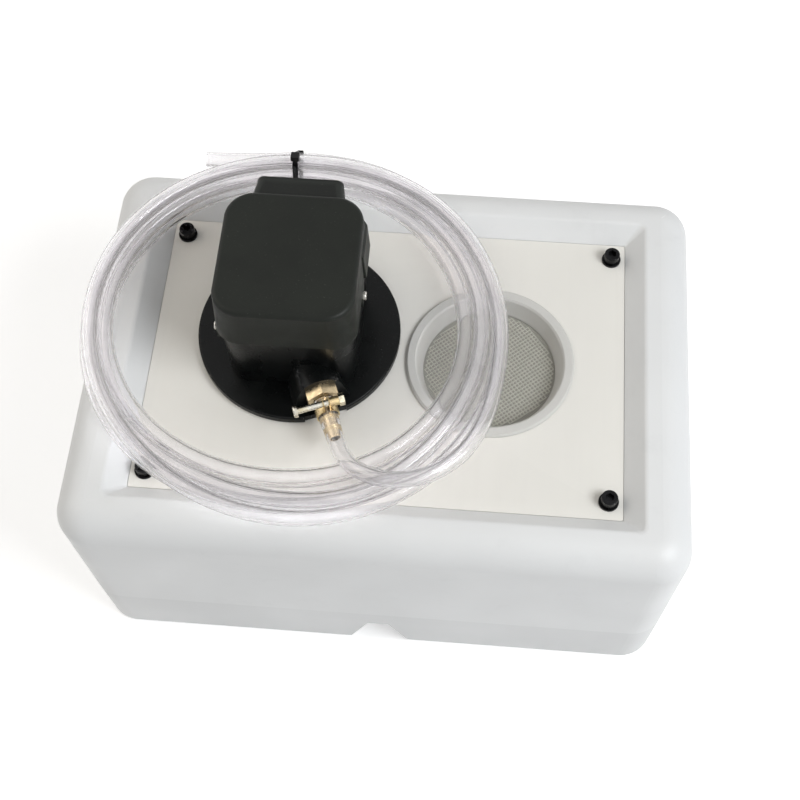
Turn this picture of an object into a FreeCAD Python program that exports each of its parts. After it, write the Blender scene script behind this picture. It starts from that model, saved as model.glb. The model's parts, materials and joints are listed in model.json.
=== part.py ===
# Coolant pump set: a plastic tank with a recessed cover plate, an immersion pump on the plate,
# a strainer beside it and a clear hose coiled round the pump.
#
# Frame: millimetres. The origin is the centre of the tank's foot, +Z up, +X to the right along
# the tank's long side, +Y to the back, where the terminal box sits. The outlet points to the front.

import FreeCAD, Part
import math
import os

V = FreeCAD.Vector

# Tank: a moulded skin of one thickness that rolls over at the rim and carries the plate on a ledge.
TANK_LENGTH = 386.0
TANK_WIDTH = 270.0
TANK_HEIGHT = 174.0
TANK_WALL = 4.0
TANK_CORNER = 22.0
FOOT_INSET = 2.5
PARTING_HEIGHT = 56.0
PARTING_INSET = 1.5
RIM_WIDTH_X = 30.0
RIM_WIDTH_Y = 25.0
RIM_ROUND = 20.0
RIM_INNER_ROUND = 4.0
FOOT_ROUND = 5.0
RIM_SLOPE_X = 12.0
RIM_SLOPE_Y = 11.0
RIM_OPENING_CORNER = 4.0
LEDGE_WIDTH = 23.0
LEDGE_CORNER = 20.0
GROOVE_X = 2.5
GROOVE_TOP_WIDTH = 14.0
GROOVE_FOOT_WIDTH = 42.0
GROOVE_HEIGHT = 36.0

# Cover plate with its four M6 screws and washers, their brass inserts and the bosses that hold them.
PLATE_GAP = 0.3
PLATE_LENGTH = TANK_LENGTH - 2 * (RIM_WIDTH_X + RIM_SLOPE_X + PLATE_GAP)
PLATE_WIDTH = TANK_WIDTH - 2 * (RIM_WIDTH_Y + RIM_SLOPE_Y + PLATE_GAP)
PLATE_THICK = 6.0
PLATE_CORNER = 1.0
PLATE_SETBACK = 11.0
PLATE_SCREW_INSET_X = 9.0
PLATE_SCREW_INSET_Y = 11.5
PLATE_SCREW_X = PLATE_LENGTH / 2 - PLATE_SCREW_INSET_X
PLATE_SCREW_Y = PLATE_WIDTH / 2 - PLATE_SCREW_INSET_Y
PLATE_SCREW_RADIUS = 3.0
PLATE_SCREW_LENGTH = 16.0
SOCKET_HEAD_RADIUS = 5.0
SOCKET_HEAD_HEIGHT = 6.0
SOCKET_HEAD_ROUND = 0.6
SOCKET_ACROSS_FLATS = 5.0
SOCKET_DEPTH = 3.0
WASHER_RADIUS = 6.2
WASHER_THICK = 1.6
WASHER_EDGE = 0.3
SCREW_HOLE_CLEARANCE = 0.5
INSERT_RADIUS = 5.0
INSERT_LENGTH = 13.0
INSERT_BOSS_RADIUS = 10.0
INSERT_BOSS_LENGTH = 14.0

# Strainer: a round dish that hangs in the plate by its flange, with a mesh floor.
STRAINER_X = 65.5
STRAINER_Y = 4.0
STRAINER_FLANGE_RADIUS = 53.5
STRAINER_FLANGE_THICK = 2.8
STRAINER_MOUTH_RADIUS = 46.5
STRAINER_MESH_RADIUS = 42.3
STRAINER_DEPTH = 9.0
STRAINER_WALL = 2.0
STRAINER_HOLE_RADIUS = 49.0
STRAINER_HOLE_CLEARANCE = 0.5
STRAINER_LIP = 1.2
MESH_THICK = 1.2
MESH_HOLE = 4.4
MESH_PITCH = 6.4
MESH_RIM = 4.0
MESH_CLEARANCE = 0.2
MESH_LEDGE = 3.0

# Pump: heights are measured from the top of the cover plate.
PUMP_X = -57.7
PUMP_Y = 16.5
PUMP_HOLE_RADIUS = 54.0
GASKET_THICK = 1.0
GASKET_EDGE = 0.5
FLANGE_RADIUS = 65.0
FLANGE_THICK = 5.0
FLANGE_EDGE_ROUND = 1.2
FLANGE_NOTCH_WIDTH = 27.0
FLANGE_NOTCH_DEPTH = 2.5
FLANGE_SCREW_CIRCLE = 58.5
FLANGE_SCREW_BITE = 3.5
FLANGE_SCREWS = 4
FLANGE_SCREW_ANGLE = 45.0
M4_RADIUS = 2.0
M4_HEAD_RADIUS = 3.8
M4_HEAD_HEIGHT = 2.6
CROSS_DEPTH_SHARE = 0.45
CROSS_REACH_SHARE = 0.6
CROSS_WIDTH = 0.8
SMALL_HOLE_CLEARANCE = 0.3

# Motor housing, its cover and the inside of the motor.
HOUSING_FOOT_HALF = 40.3
HOUSING_TOP_HALF = 41.4
HOUSING_FOOT_CORNER = 14.0
HOUSING_TOP_CORNER = 17.0
HOUSING_FLOOR = 10.0
MOTOR_BACK = 3.0
SEAM_HEIGHT = 57.5
CAVITY_HALF = 37.0
CAVITY_CORNER = 12.5
SPIGOT_CLEARANCE = 0.4
SPIGOT_HEIGHT = 5.0
TAB_WIDTH = 9.0
TAB_DROP = 13.0
TAB_CLEARANCE = 0.15
SIDE_SCREW_DROP = 7.0
SIDE_SCREW_LENGTH = 5.8
SIDE_SCREW_PLACES = ((1, 0.0), (-1, -27.0))
COVER_FOOT_HALF = 43.0
COVER_TOP_HALF = 42.0
COVER_FOOT_CORNER = 15.0
COVER_TOP_CORNER = 18.0
COVER_TOP = 90.0
COVER_EDGE_ROUND = 3.0
COVER_WALL = 2.5
RIB_Y = 21.0
RIB_WIDTH = 25.0
RIB_STAND = 1.5
RIB_SLOPE = 6.0
RIB_ROUND = 1.0
RIB_TOP = 84.0
POST_OFFSET = 30.0
POST_RADIUS = 5.5
POST_SCREW_BITE = 15.0
PILLAR_RADIUS = 4.5
STATOR_FOOT = 32.5
STATOR_HEIGHT = 25.0
STATOR_CLEARANCE = 0.2
STATOR_BORE = 18.0
STATOR_SLOTS = 12
SLOT_INNER = 21.0
SLOT_OUTER = 28.5
SLOT_WIDTH = 5.0
WINDING_CLEARANCE = 0.2
WINDING_OVERHANG = 5.5
LEAD_CHANNEL_WIDTH = 12.0
LEAD_CHANNEL_DEPTH = 4.0
AIR_GAP = 0.5
ROTOR_END_RING = 3.0
ROTOR_END_RING_INNER = 10.0
BRACKET_FOOT = 65.5
BRACKET_THICK = 4.0
BRACKET_HALF = 35.0
HUB_RADIUS = 18.5

# Shaft and its two ball bearings.
SHAFT_RADIUS = 5.0
SHAFT_ROTOR_RADIUS = 6.5
SHAFT_TOP = 85.0
BEARING_RADIUS = 15.0
BEARING_WIDTH = 9.0
BEARING_SHOULDER_RADIUS = 9.5
INNER_RING_RADIUS = 8.2
OUTER_RING_INNER = 11.8
BALL_CIRCLE = 10.0
BALL_COUNT = 7
BALL_RADIUS = 2.3
BALL_CLEARANCE = 0.25
CAGE_HALF_WALL = 0.8
CAGE_HEIGHT = 6.0
CAGE_CLEARANCE = 0.1
LOWER_BEARING_FOOT = 19.0
UPPER_BEARING_FOOT = 72.5
CIRCLIP_THICK = 1.0
CIRCLIP_DEPTH = 0.4
CIRCLIP_RADIUS = 7.5
SEAL_RADIUS = 11.0
SEAL_HEIGHT = 6.0
SEAL_RECESS = 0.5
RUNNING_CLEARANCE = 0.15
SLINGER_RADIUS = 14.0
SLINGER_THICK = 2.0
SLINGER_TOP = -1.0

# Wet end under the plate: column, volute, impeller, suction cage and riser pipe.
COLUMN_RADIUS = 22.0
COLUMN_WALL = 3.0
COLUMN_FLANGE_RADIUS = 34.0
COLUMN_FLANGE_THICK = 5.0
COLUMN_SCREW_CIRCLE = 28.5
COLUMN_SCREW_BITE = 7.0
COLUMN_SCREWS = 4
DRAIN_HOLE_RADIUS = 4.0
DRAIN_HOLE_DEPTH = 24.0
VOLUTE_ROOF = -108.0
VOLUTE_ROOF_THICK = 4.0
VOLUTE_FOOT = -126.0
VOLUTE_RADIUS = 42.0
VOLUTE_INNER = 36.0
IMPELLER_RADIUS = 30.0
IMPELLER_TOP = -113.0
IMPELLER_PLATE = 2.5
IMPELLER_HUB_RADIUS = 9.0
IMPELLER_HUB_HEIGHT = 9.0
IMPELLER_VANES = 6
VANE_ANGLE = 7.0
VANE_BEND = 0.65
VANE_CLEARANCE = 1.0
VANE_SWEEP = 38.0
VANE_SETBACK = 0.5
M6_RADIUS = 3.0
M6_NUT_ACROSS_FLATS = 10.0
M6_NUT_HEIGHT = 5.0
M6_STUD = 9.0
SUCTION_PLATE = 4.0
SUCTION_MOUTH_RADIUS = 14.0
CAGE_RING_RADIUS = 33.0
CAGE_RING_WALL = 3.0
CAGE_RING_HEIGHT = 9.0
CAGE_FLOOR = 1.5
CAGE_SLOTS = 8
CAGE_SLOT_WIDTH = 8.0
CAGE_SLOT_HEIGHT = 7.5
SUCTION_SCREW_CIRCLE = 39.0
SUCTION_SCREWS = 6
M3_RADIUS = 1.5
M3_HEAD_RADIUS = 2.8
M3_HEAD_HEIGHT = 2.0
M3_BITE = 8.0
RISER_OFFSET = 44.0
RISER_RADIUS = 7.0
RISER_BORE = 4.5
RISER_SOCKET = 8.0
RISER_SOCKET_WALL = 2.5
RISER_FIT = 0.1
O_RING_HEIGHT = 2.0
O_RING_DEPTH = 1.2
DUCT_HEIGHT = -119.0

# Outlet: a boss with a threaded hose barb, turned from the front towards the right.
OUTLET_TURN = 21.5
OUTLET_HEIGHT = 20.0
BOSS_RADIUS = 14.0
BOSS_FOOT_HALF = 18.0
BOSS_SHOULDER = 3.0
BOSS_END = 56.0
BARB_THREAD_RADIUS = 8.3
BARB_THREAD_LENGTH = 9.0
BARB_HEX = 19.0
BARB_HEX_LENGTH = 6.5
BARB_ROOT_LENGTH = 4.5
BARB_ROOT_RADIUS = 4.1
BARB_RADIUS = 4.9
BARB_WAIST_RADIUS = 4.0
BARB_TIP_RADIUS = 3.6
BARB_STEP = 7.5
BARB_STEPS = 3
BARB_BORE = 3.0

# Hose, its clamp, the coil that the hose makes and the tie that holds it.
HOSE_RADIUS = 5.0
HOSE_BORE = 3.5
HOSE_GAP = 0.3
HOSE_SWELL = 6.4
HOSE_SWELL_BORE = 5.0
HOSE_SWELL_END = 84.0
HOSE_TAPER_END = 96.0
COIL_X = -59.0
COIL_Y = 9.0
COIL_RADIUS = 133.5
COIL_INNER_X = -66.0
COIL_INNER_Y = 18.0
COIL_BAND = 25.0
COIL_INNER_RADIUS = COIL_RADIUS - COIL_BAND
LEAD_OVERRUN = 11.5
COIL_HEIGHT = 27.0
COIL_ROUND = 4.5
TAIL_HEIGHT = 9.0
TAIL_INSET = 8.5
TAIL_END_X = -131.0
TAIL_LENGTH = 45.0
CLAMP_OFFSET = 70.5
CLAMP_WIDTH = 6.0
CLAMP_THICK = 0.7
CLAMP_CLEARANCE = 0.1
CLAMP_EAR_GAP = 3.0
CLAMP_EAR_HEIGHT = 8.0
CLAMP_SCREW_STAND = 4.6
CLAMP_SCREW_LEFT = 18.0
CLAMP_SCREW_RIGHT = 11.5
CLAMP_HEAD_LENGTH = 2.5
CLAMP_NUT_ACROSS_FLATS = 7.0
CLAMP_NUT_LENGTH = 3.2
CLAMP_BARREL_END = 8.0
CLAMP_BARREL_RADIUS = 2.9
TIE_X = -74.0
TIE_WIDTH = 4.0
TIE_THICK = 1.2
TIE_GAP = 0.15
TIE_SLACK = 0.5
TIE_HEAD = 6.0
TIE_HEAD_HEIGHT = 4.5
TIE_HEAD_INSET = 6.5

# Terminal box at the back of the motor, with a cable gland in its lid.
BOX_FRONT_HALF = 28.7
BOX_BACK_HALF = 26.75
BOX_FRONT = 46.3
BOX_DEPTH = 11.2
BOX_FOOT = 30.0
BOX_TOP = 85.0
BOX_WALL = 2.0
BOX_CORNER = 5.0
LID_THICK = 3.0
NECK_RADIUS = 8.0
NECK_BORE = 5.0
NECK_HEIGHT = 46.0
LID_SCREW_X = 22.0
LID_SCREW_INSET = 5.0
LID_SCREW_BITE = 8.0
LID_POST_RADIUS = 4.0
LID_ROUND = 1.0
BLOCK_SIZE = (32.0, 5.0, 14.0)
BLOCK_HEIGHT = 70.0
BLOCK_SCREW_PITCH = 9.0
GLAND_HEIGHT = 42.0
GLAND_THREAD = 6.0
GLAND_HEX = 14.0
GLAND_HEX_LENGTH = 4.0
GLAND_INSIDE = 6.5
GLAND_OUTSIDE = 12.0
GLAND_BORE = 4.4
GLAND_NUT_GAP = 0.5
GLAND_NUT_LENGTH = 13.0
GLAND_DOME = 3.0
CABLE_RADIUS = 3.0
LOCKNUT_THICK = 3.0

# Worked out from the dimensions above.
PLATE_TOP_Z = TANK_HEIGHT - PLATE_SETBACK
LEDGE_Z = PLATE_TOP_Z - PLATE_THICK
PUMP = V(PUMP_X, PUMP_Y, PLATE_TOP_Z)
ORIGIN = V(0, 0, 0)
FLANGE_TOP = GASKET_THICK + FLANGE_THICK
STATOR_TOP = STATOR_FOOT + STATOR_HEIGHT
BRACKET_TOP = BRACKET_FOOT + BRACKET_THICK
SUCTION_FOOT = VOLUTE_FOOT - SUCTION_PLATE
HUB_FOOT = IMPELLER_TOP - IMPELLER_HUB_HEIGHT
HEX_END = BOSS_END + BARB_HEX_LENGTH
BARB_TIP = HEX_END + BARB_ROOT_LENGTH + BARB_STEP * BARB_STEPS
CORNERS = ((1, 1), (-1, 1), (-1, -1), (1, -1))
SAME = 0.01


def rounded_wire(half_x, half_y, radius, z, x=0.0, y=0.0):
    """Rectangle with round corners, in the level plane at height z."""
    edges = []
    diagonal = radius * math.sqrt(0.5)
    corners = []
    for sx, sy in CORNERS:
        cx, cy = x + sx * (half_x - radius), y + sy * (half_y - radius)
        ends = [V(cx + sx * radius, cy, z), V(cx, cy + sy * radius, z)]
        if sx * sy < 0:
            ends.reverse()
        corners.append((ends[0], V(cx + sx * diagonal, cy + sy * diagonal, z), ends[1]))
    for i, (start, middle, end) in enumerate(corners):
        edges.append(Part.Arc(start, middle, end).toShape())
        edges.append(Part.LineSegment(end, corners[(i + 1) % 4][0]).toShape())
    return Part.Wire(edges)


def loft(sections):
    """Straight-sided solid through level rounded rectangles: (half_x, half_y, radius, z)."""
    return Part.makeLoft([rounded_wire(*section) for section in sections], True, True)


def prism(half_x, half_y, radius, z0, z1, x=0.0, y=0.0):
    face = Part.Face(rounded_wire(half_x, half_y, radius, z0, x, y))
    return face.extrude(V(0, 0, z1 - z0))


def block(x0, x1, y0, y1, z0, z1):
    return Part.makeBox(x1 - x0, y1 - y0, z1 - z0, V(x0, y0, z0))


def cylinder(radius, z0, z1, x=0.0, y=0.0):
    return Part.makeCylinder(radius, z1 - z0, V(x, y, z0))


def ring(outer, inner, z0, z1, x=0.0, y=0.0):
    return cylinder(outer, z0, z1, x, y).cut(cylinder(inner, z0 - 1, z1 + 1, x, y))


def rod(radius, start, end):
    """Round bar from one point to another."""
    return Part.makeCylinder(radius, (end - start).Length, start, end - start)


def turned(profile):
    """Solid turned about the vertical axis from a closed outline of (radius, height) points."""
    points = [V(r, 0, z) for r, z in profile]
    face = Part.Face(Part.makePolygon(points + points[:1]))
    return face.revolve(ORIGIN, V(0, 0, 1), 360)


def hexagon(across_flats, z0, z1, x=0.0, y=0.0):
    """Upright hexagonal bar with one pair of flats facing +X and -X."""
    radius = across_flats / math.sqrt(3)
    points = []
    for i in range(7):
        angle = math.radians(30 + 60 * i)
        points.append(V(x + radius * math.cos(angle), y + radius * math.sin(angle), z0))
    return Part.Face(Part.makePolygon(points)).extrude(V(0, 0, z1 - z0))


def lying(shape, towards):
    """Turns a piece that was made upright about the Z axis so that its top points along a direction."""
    result = shape.copy()
    result.Placement = FreeCAD.Placement(ORIGIN, FreeCAD.Rotation(V(0, 0, 1), towards)) * result.Placement
    return result


def moved(shape, offset):
    result = shape.copy()
    result.translate(offset)
    return result


def spun(shape, angle, axis=V(0, 0, 1)):
    result = shape.copy()
    result.rotate(ORIGIN, axis, angle)
    return result


def around(shape, count, start=0.0):
    """Copies of a piece at even angles about the Z axis."""
    return [spun(shape, start + 360.0 * i / count) for i in range(count)]


def fused(shapes):
    result = shapes[0].fuse(shapes[1:]) if len(shapes) > 1 else shapes[0]
    return result.removeSplitter()


def cut(shape, tools):
    return shape.cut(Part.makeCompound(tools))


def edges_at(shape, test):
    """Edges whose whole length passes a test on its points."""
    picked = []
    for edge in shape.Edges:
        points = [edge.valueAt(edge.FirstParameter), edge.valueAt(edge.LastParameter), edge.CenterOfMass]
        if all(test(point) for point in points):
            picked.append(edge)
    return picked


def rounded(shape, radius, test):
    return shape.makeFillet(radius, edges_at(shape, test))


def level(z):
    return lambda point: abs(point.z - z) < SAME


def in_outlet(shape):
    """Places a piece made along +X from the pump's axis on the outlet's axis."""
    return moved(spun(shape, OUTLET_TURN - 90), V(0, 0, OUTLET_HEIGHT))


def save(node, shapes, offset=ORIGIN):
    """Writes one node, of one solid or of a group of like solids, and prints its volume."""
    placed = [moved(shape, offset) for shape in shapes]
    solids = [solid for shape in placed for solid in shape.Solids]
    whole = solids[0] if len(solids) == 1 else Part.makeCompound(solids)
    valid = all(solid.isValid() for solid in solids)
    print("%-26s %2d solids  volume %10.1f  valid %s" % (node, len(solids), whole.Volume, valid))
    whole.exportStep("parts/" + node + ".step")


def tank_sections(inset, foot):
    """Outline of the tank's outside, or of its inside when inset by the wall."""
    half_x, half_y = TANK_LENGTH / 2 - inset, TANK_WIDTH / 2 - inset
    corner = TANK_CORNER - inset
    return [
        (half_x - FOOT_INSET, half_y - FOOT_INSET, corner, foot),
        (half_x - PARTING_INSET, half_y - PARTING_INSET, corner, PARTING_HEIGHT),
        (half_x, half_y, corner, TANK_HEIGHT - inset),
    ]


def recess(grow):
    """Space above the plate's ledge, or the same with the skin's thickness round it."""
    half_x, half_y = PLATE_LENGTH / 2 + PLATE_GAP + grow, PLATE_WIDTH / 2 + PLATE_GAP + grow
    corner = PLATE_CORNER + PLATE_GAP + grow
    wide = RIM_OPENING_CORNER + grow
    return loft([
        (half_x, half_y, corner, LEDGE_Z - grow),
        (half_x, half_y, corner, PLATE_TOP_Z),
        (half_x + RIM_SLOPE_X, half_y + RIM_SLOPE_Y, wide, TANK_HEIGHT),
        (half_x + 2 * RIM_SLOPE_X, half_y + 2 * RIM_SLOPE_Y, wide, TANK_HEIGHT + PLATE_SETBACK),
    ])


def groove(grow):
    """Tapered channel across the tank's foot, from front to back."""
    foot, top = GROOVE_FOOT_WIDTH / 2 + grow, GROOVE_TOP_WIDTH / 2 + grow
    y = TANK_WIDTH / 2 + 1
    points = [V(GROOVE_X - foot, -y, 0), V(GROOVE_X + foot, -y, 0),
              V(GROOVE_X + top, -y, GROOVE_HEIGHT + grow), V(GROOVE_X - top, -y, GROOVE_HEIGHT + grow)]
    return Part.Face(Part.makePolygon(points + points[:1])).extrude(V(0, 2 * y, 0))


def plate_screw_places():
    return [V(sx * PLATE_SCREW_X, sy * PLATE_SCREW_Y, 0) for sx, sy in CORNERS]


def outside_opening(point):
    """True at the tank's outer sides, on the outside of the rim."""
    return abs(point.x) > TANK_LENGTH / 2 - TANK_CORNER + 1 or abs(point.y) > TANK_WIDTH / 2 - 1


def in_opening(point):
    """True at the edge where the rim slopes down to the plate."""
    half_x, half_y = PLATE_LENGTH / 2 + PLATE_GAP + RIM_SLOPE_X, PLATE_WIDTH / 2 + PLATE_GAP + RIM_SLOPE_Y
    return abs(point.x) < half_x + SAME and abs(point.y) < half_y + SAME


def tank_shell():
    outside = loft(tank_sections(0, 0)).cut(recess(0))
    outside = rounded(outside, RIM_ROUND, lambda p: abs(p.z - TANK_HEIGHT) < SAME and outside_opening(p))
    outside = rounded(outside, RIM_INNER_ROUND, lambda p: abs(p.z - TANK_HEIGHT) < SAME and in_opening(p))
    outside = rounded(outside, FOOT_ROUND, level(0))
    inside = loft(tank_sections(TANK_WALL, TANK_WALL))
    inside = rounded(inside, RIM_ROUND - TANK_WALL, level(TANK_HEIGHT - TANK_WALL))
    inside = rounded(inside, FOOT_ROUND - TANK_WALL, level(TANK_WALL))
    inside = inside.cut(recess(TANK_WALL)).cut(groove(TANK_WALL))
    shell = outside.cut(inside).cut(groove(0))
    half_x = PLATE_LENGTH / 2 + PLATE_GAP - LEDGE_WIDTH
    half_y = PLATE_WIDTH / 2 + PLATE_GAP - LEDGE_WIDTH
    shell = shell.cut(prism(half_x, half_y, LEDGE_CORNER, LEDGE_Z - 2 * TANK_WALL, LEDGE_Z + 1))
    foot = LEDGE_Z - TANK_WALL
    bosses = [cylinder(INSERT_BOSS_RADIUS, foot - INSERT_BOSS_LENGTH, foot, p.x, p.y)
              for p in plate_screw_places()]
    holes = [cylinder(INSERT_RADIUS, LEDGE_Z - INSERT_LENGTH, LEDGE_Z + 1, p.x, p.y)
             for p in plate_screw_places()]
    return cut(fused([shell] + bosses), holes)


def cover_plate():
    plate = prism(PLATE_LENGTH / 2, PLATE_WIDTH / 2, PLATE_CORNER, LEDGE_Z, PLATE_TOP_Z)
    low, high = LEDGE_Z - 1, PLATE_TOP_Z + 1
    holes = [cylinder(PUMP_HOLE_RADIUS, low, high, PUMP_X, PUMP_Y),
             cylinder(STRAINER_HOLE_RADIUS, low, high, STRAINER_X, STRAINER_Y)]
    holes += [cylinder(PLATE_SCREW_RADIUS + SCREW_HOLE_CLEARANCE, low, high, p.x, p.y) for p in plate_screw_places()]
    small = cylinder(M4_RADIUS + SMALL_HOLE_CLEARANCE, low, high, FLANGE_SCREW_CIRCLE)
    holes += [moved(hole, V(PUMP_X, PUMP_Y, 0))
              for hole in around(small, FLANGE_SCREWS, FLANGE_SCREW_ANGLE)]
    return cut(plate, holes)


def insert():
    return ring(INSERT_RADIUS, PLATE_SCREW_RADIUS, LEDGE_Z - INSERT_LENGTH, LEDGE_Z)


def plate_washer():
    top = PLATE_TOP_Z + WASHER_THICK
    washer = ring(WASHER_RADIUS, PLATE_SCREW_RADIUS + SCREW_HOLE_CLEARANCE, PLATE_TOP_Z, top)
    return washer.makeChamfer(WASHER_EDGE, [max(edges_at(washer, level(top)), key=lambda edge: edge.Length)])


def socket_screw():
    """M6 socket-head screw that stands on its washer."""
    seat = PLATE_TOP_Z + WASHER_THICK
    top = seat + SOCKET_HEAD_HEIGHT
    head = rounded(cylinder(SOCKET_HEAD_RADIUS, seat, top), SOCKET_HEAD_ROUND, level(top))
    socket = hexagon(SOCKET_ACROSS_FLATS, top - SOCKET_DEPTH, top + 1)
    return fused([head, cylinder(PLATE_SCREW_RADIUS, seat - PLATE_SCREW_LENGTH, seat)]).cut(socket)


def strainer_cup():
    """Turned dish: flange, sloping wall, pocket for the mesh and the ledge under it."""
    lip, top = STRAINER_LIP, STRAINER_FLANGE_THICK
    pocket = STRAINER_MESH_RADIUS + MESH_CLEARANCE
    floor = -STRAINER_DEPTH - MESH_THICK - MESH_CLEARANCE
    foot = floor - STRAINER_WALL
    neck = STRAINER_HOLE_RADIUS - STRAINER_HOLE_CLEARANCE
    return turned([
        (neck, 0), (STRAINER_FLANGE_RADIUS, 0), (STRAINER_FLANGE_RADIUS, top - lip),
        (STRAINER_FLANGE_RADIUS - lip, top), (STRAINER_MOUTH_RADIUS + lip, top),
        (STRAINER_MOUTH_RADIUS, top - lip), (pocket, -STRAINER_DEPTH), (pocket, floor),
        (pocket - MESH_LEDGE, floor), (pocket - MESH_LEDGE, foot), (pocket + STRAINER_WALL, foot),
        (pocket + STRAINER_WALL, -STRAINER_DEPTH), (neck, -STRAINER_WALL / 2),
    ])


def strainer_mesh():
    """Disc with a field of square holes turned by 45 degrees."""
    top = -STRAINER_DEPTH - MESH_CLEARANCE
    disc = cylinder(STRAINER_MESH_RADIUS, top - MESH_THICK, top)
    reach = STRAINER_MESH_RADIUS - MESH_RIM - MESH_HOLE * math.sqrt(0.5)
    count = int(reach / MESH_PITCH) + 1
    holes = []
    for i in range(-count, count + 1):
        for j in range(-count, count + 1):
            x, y = i * MESH_PITCH, j * MESH_PITCH
            if math.hypot(x, y) < reach:
                half = MESH_HOLE / 2
                holes.append(block(x - half, x + half, y - half, y + half, top - MESH_THICK - 1, top + 1))
    return spun(cut(disc, holes), 45)


def pan_screw(radius, head_radius, head_height, length):
    """Upright cross-slot screw: its head stands on height 0 and its shank hangs below."""
    depth = head_height * CROSS_DEPTH_SHARE
    reach, half = head_radius * CROSS_REACH_SHARE, CROSS_WIDTH / 2
    head = rounded(cylinder(head_radius, 0, head_height), depth, level(head_height))
    slot = block(-reach, reach, -half, half, head_height - depth, head_height + 1)
    return cut(fused([head, cylinder(radius, -length, 0)]), [slot, spun(slot, 90)])


def m4_screw(length):
    return pan_screw(M4_RADIUS, M4_HEAD_RADIUS, M4_HEAD_HEIGHT, length)


def motor_section(half, corner, z):
    """Level outline of the motor's outside, which reaches further back than it does to the front."""
    return half, half + MOTOR_BACK / 2, corner, z, 0, MOTOR_BACK / 2


def side_pads():
    """Raised pad on each side of the cover, sloped off at its top."""
    y0 = RIB_Y - RIB_WIDTH / 2
    inner, foot = COVER_TOP_HALF - COVER_WALL / 2, COVER_FOOT_HALF + RIB_STAND
    top = COVER_TOP_HALF + RIB_STAND
    points = [V(inner, y0, SEAM_HEIGHT), V(foot, y0, SEAM_HEIGHT), V(top, y0, RIB_TOP - RIB_SLOPE),
              V(inner, y0, RIB_TOP)]
    pad = Part.Face(Part.makePolygon(points + points[:1])).extrude(V(0, RIB_WIDTH, 0))
    pad = rounded(pad, RIB_ROUND,
                  lambda p: p.x > inner + SAME and abs(abs(p.y - RIB_Y) - RIB_WIDTH / 2) < SAME)
    return [pad, pad.mirror(ORIGIN, V(1, 0, 0))]


def side_tabs():
    """Tabs of the cover that hang over the housing and take a screw each."""
    inner, outer = HOUSING_TOP_HALF + TAB_CLEARANCE, COVER_FOOT_HALF
    tabs = []
    for side, y in SIDE_SCREW_PLACES:
        x0, x1 = sorted((side * inner, side * outer))
        tabs.append(block(x0, x1, y - TAB_WIDTH / 2, y + TAB_WIDTH / 2, SEAM_HEIGHT - TAB_DROP,
                          SEAM_HEIGHT + 1))
    return tabs


def side_holes(radius, inner, outer):
    z = SEAM_HEIGHT - SIDE_SCREW_DROP
    return [rod(radius, V(side * inner, y, z), V(side * outer, y, z)) for side, y in SIDE_SCREW_PLACES]


def outlet_boss(reach):
    """Boss round the outlet: a round top on flanks that widen down to the flange."""
    foot = FLANGE_TOP - OUTLET_HEIGHT - 1
    crown_half = math.sqrt(BOSS_RADIUS ** 2 - BOSS_SHOULDER ** 2)
    side, other = V(reach, -crown_half, BOSS_SHOULDER), V(reach, crown_half, BOSS_SHOULDER)
    foot_side, foot_other = V(reach, -BOSS_FOOT_HALF, foot), V(reach, BOSS_FOOT_HALF, foot)
    wire = Part.Wire([
        Part.LineSegment(foot_side, side).toShape(),
        Part.Arc(side, V(reach, 0, BOSS_RADIUS), other).toShape(),
        Part.LineSegment(other, foot_other).toShape(),
        Part.LineSegment(foot_other, foot_side).toShape(),
    ])
    return Part.Face(wire).extrude(V(BOSS_END - reach, 0, 0))


def riser_place():
    """Where the riser stands, from the pump's axis."""
    return spun(Part.Vertex(RISER_OFFSET, 0, 0), OUTLET_TURN - 90).Point


def housing_body():
    """Outside of the motor housing with its flange and outlet boss."""
    flange = rounded(cylinder(FLANGE_RADIUS, GASKET_THICK, FLANGE_TOP), FLANGE_EDGE_ROUND, level(FLANGE_TOP))
    notch = block(FLANGE_RADIUS - FLANGE_NOTCH_DEPTH, FLANGE_RADIUS + 1, -FLANGE_NOTCH_WIDTH / 2,
                  FLANGE_NOTCH_WIDTH / 2, 0, FLANGE_TOP + 1)
    body = loft([motor_section(HOUSING_FOOT_HALF, HOUSING_FOOT_CORNER, GASKET_THICK),
                 motor_section(HOUSING_TOP_HALF, HOUSING_TOP_CORNER, SEAM_HEIGHT)])
    inset = COVER_WALL + SPIGOT_CLEARANCE
    rim = motor_section(COVER_FOOT_HALF - inset, COVER_TOP_CORNER - inset, SEAM_HEIGHT)
    spigot = Part.Face(rounded_wire(*rim)).extrude(V(0, 0, SPIGOT_HEIGHT))
    boss = in_outlet(outlet_boss(CAVITY_HALF - POST_RADIUS))
    return fused([flange.cut(spun(notch, OUTLET_TURN - 90)), body, spigot, boss])


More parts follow.
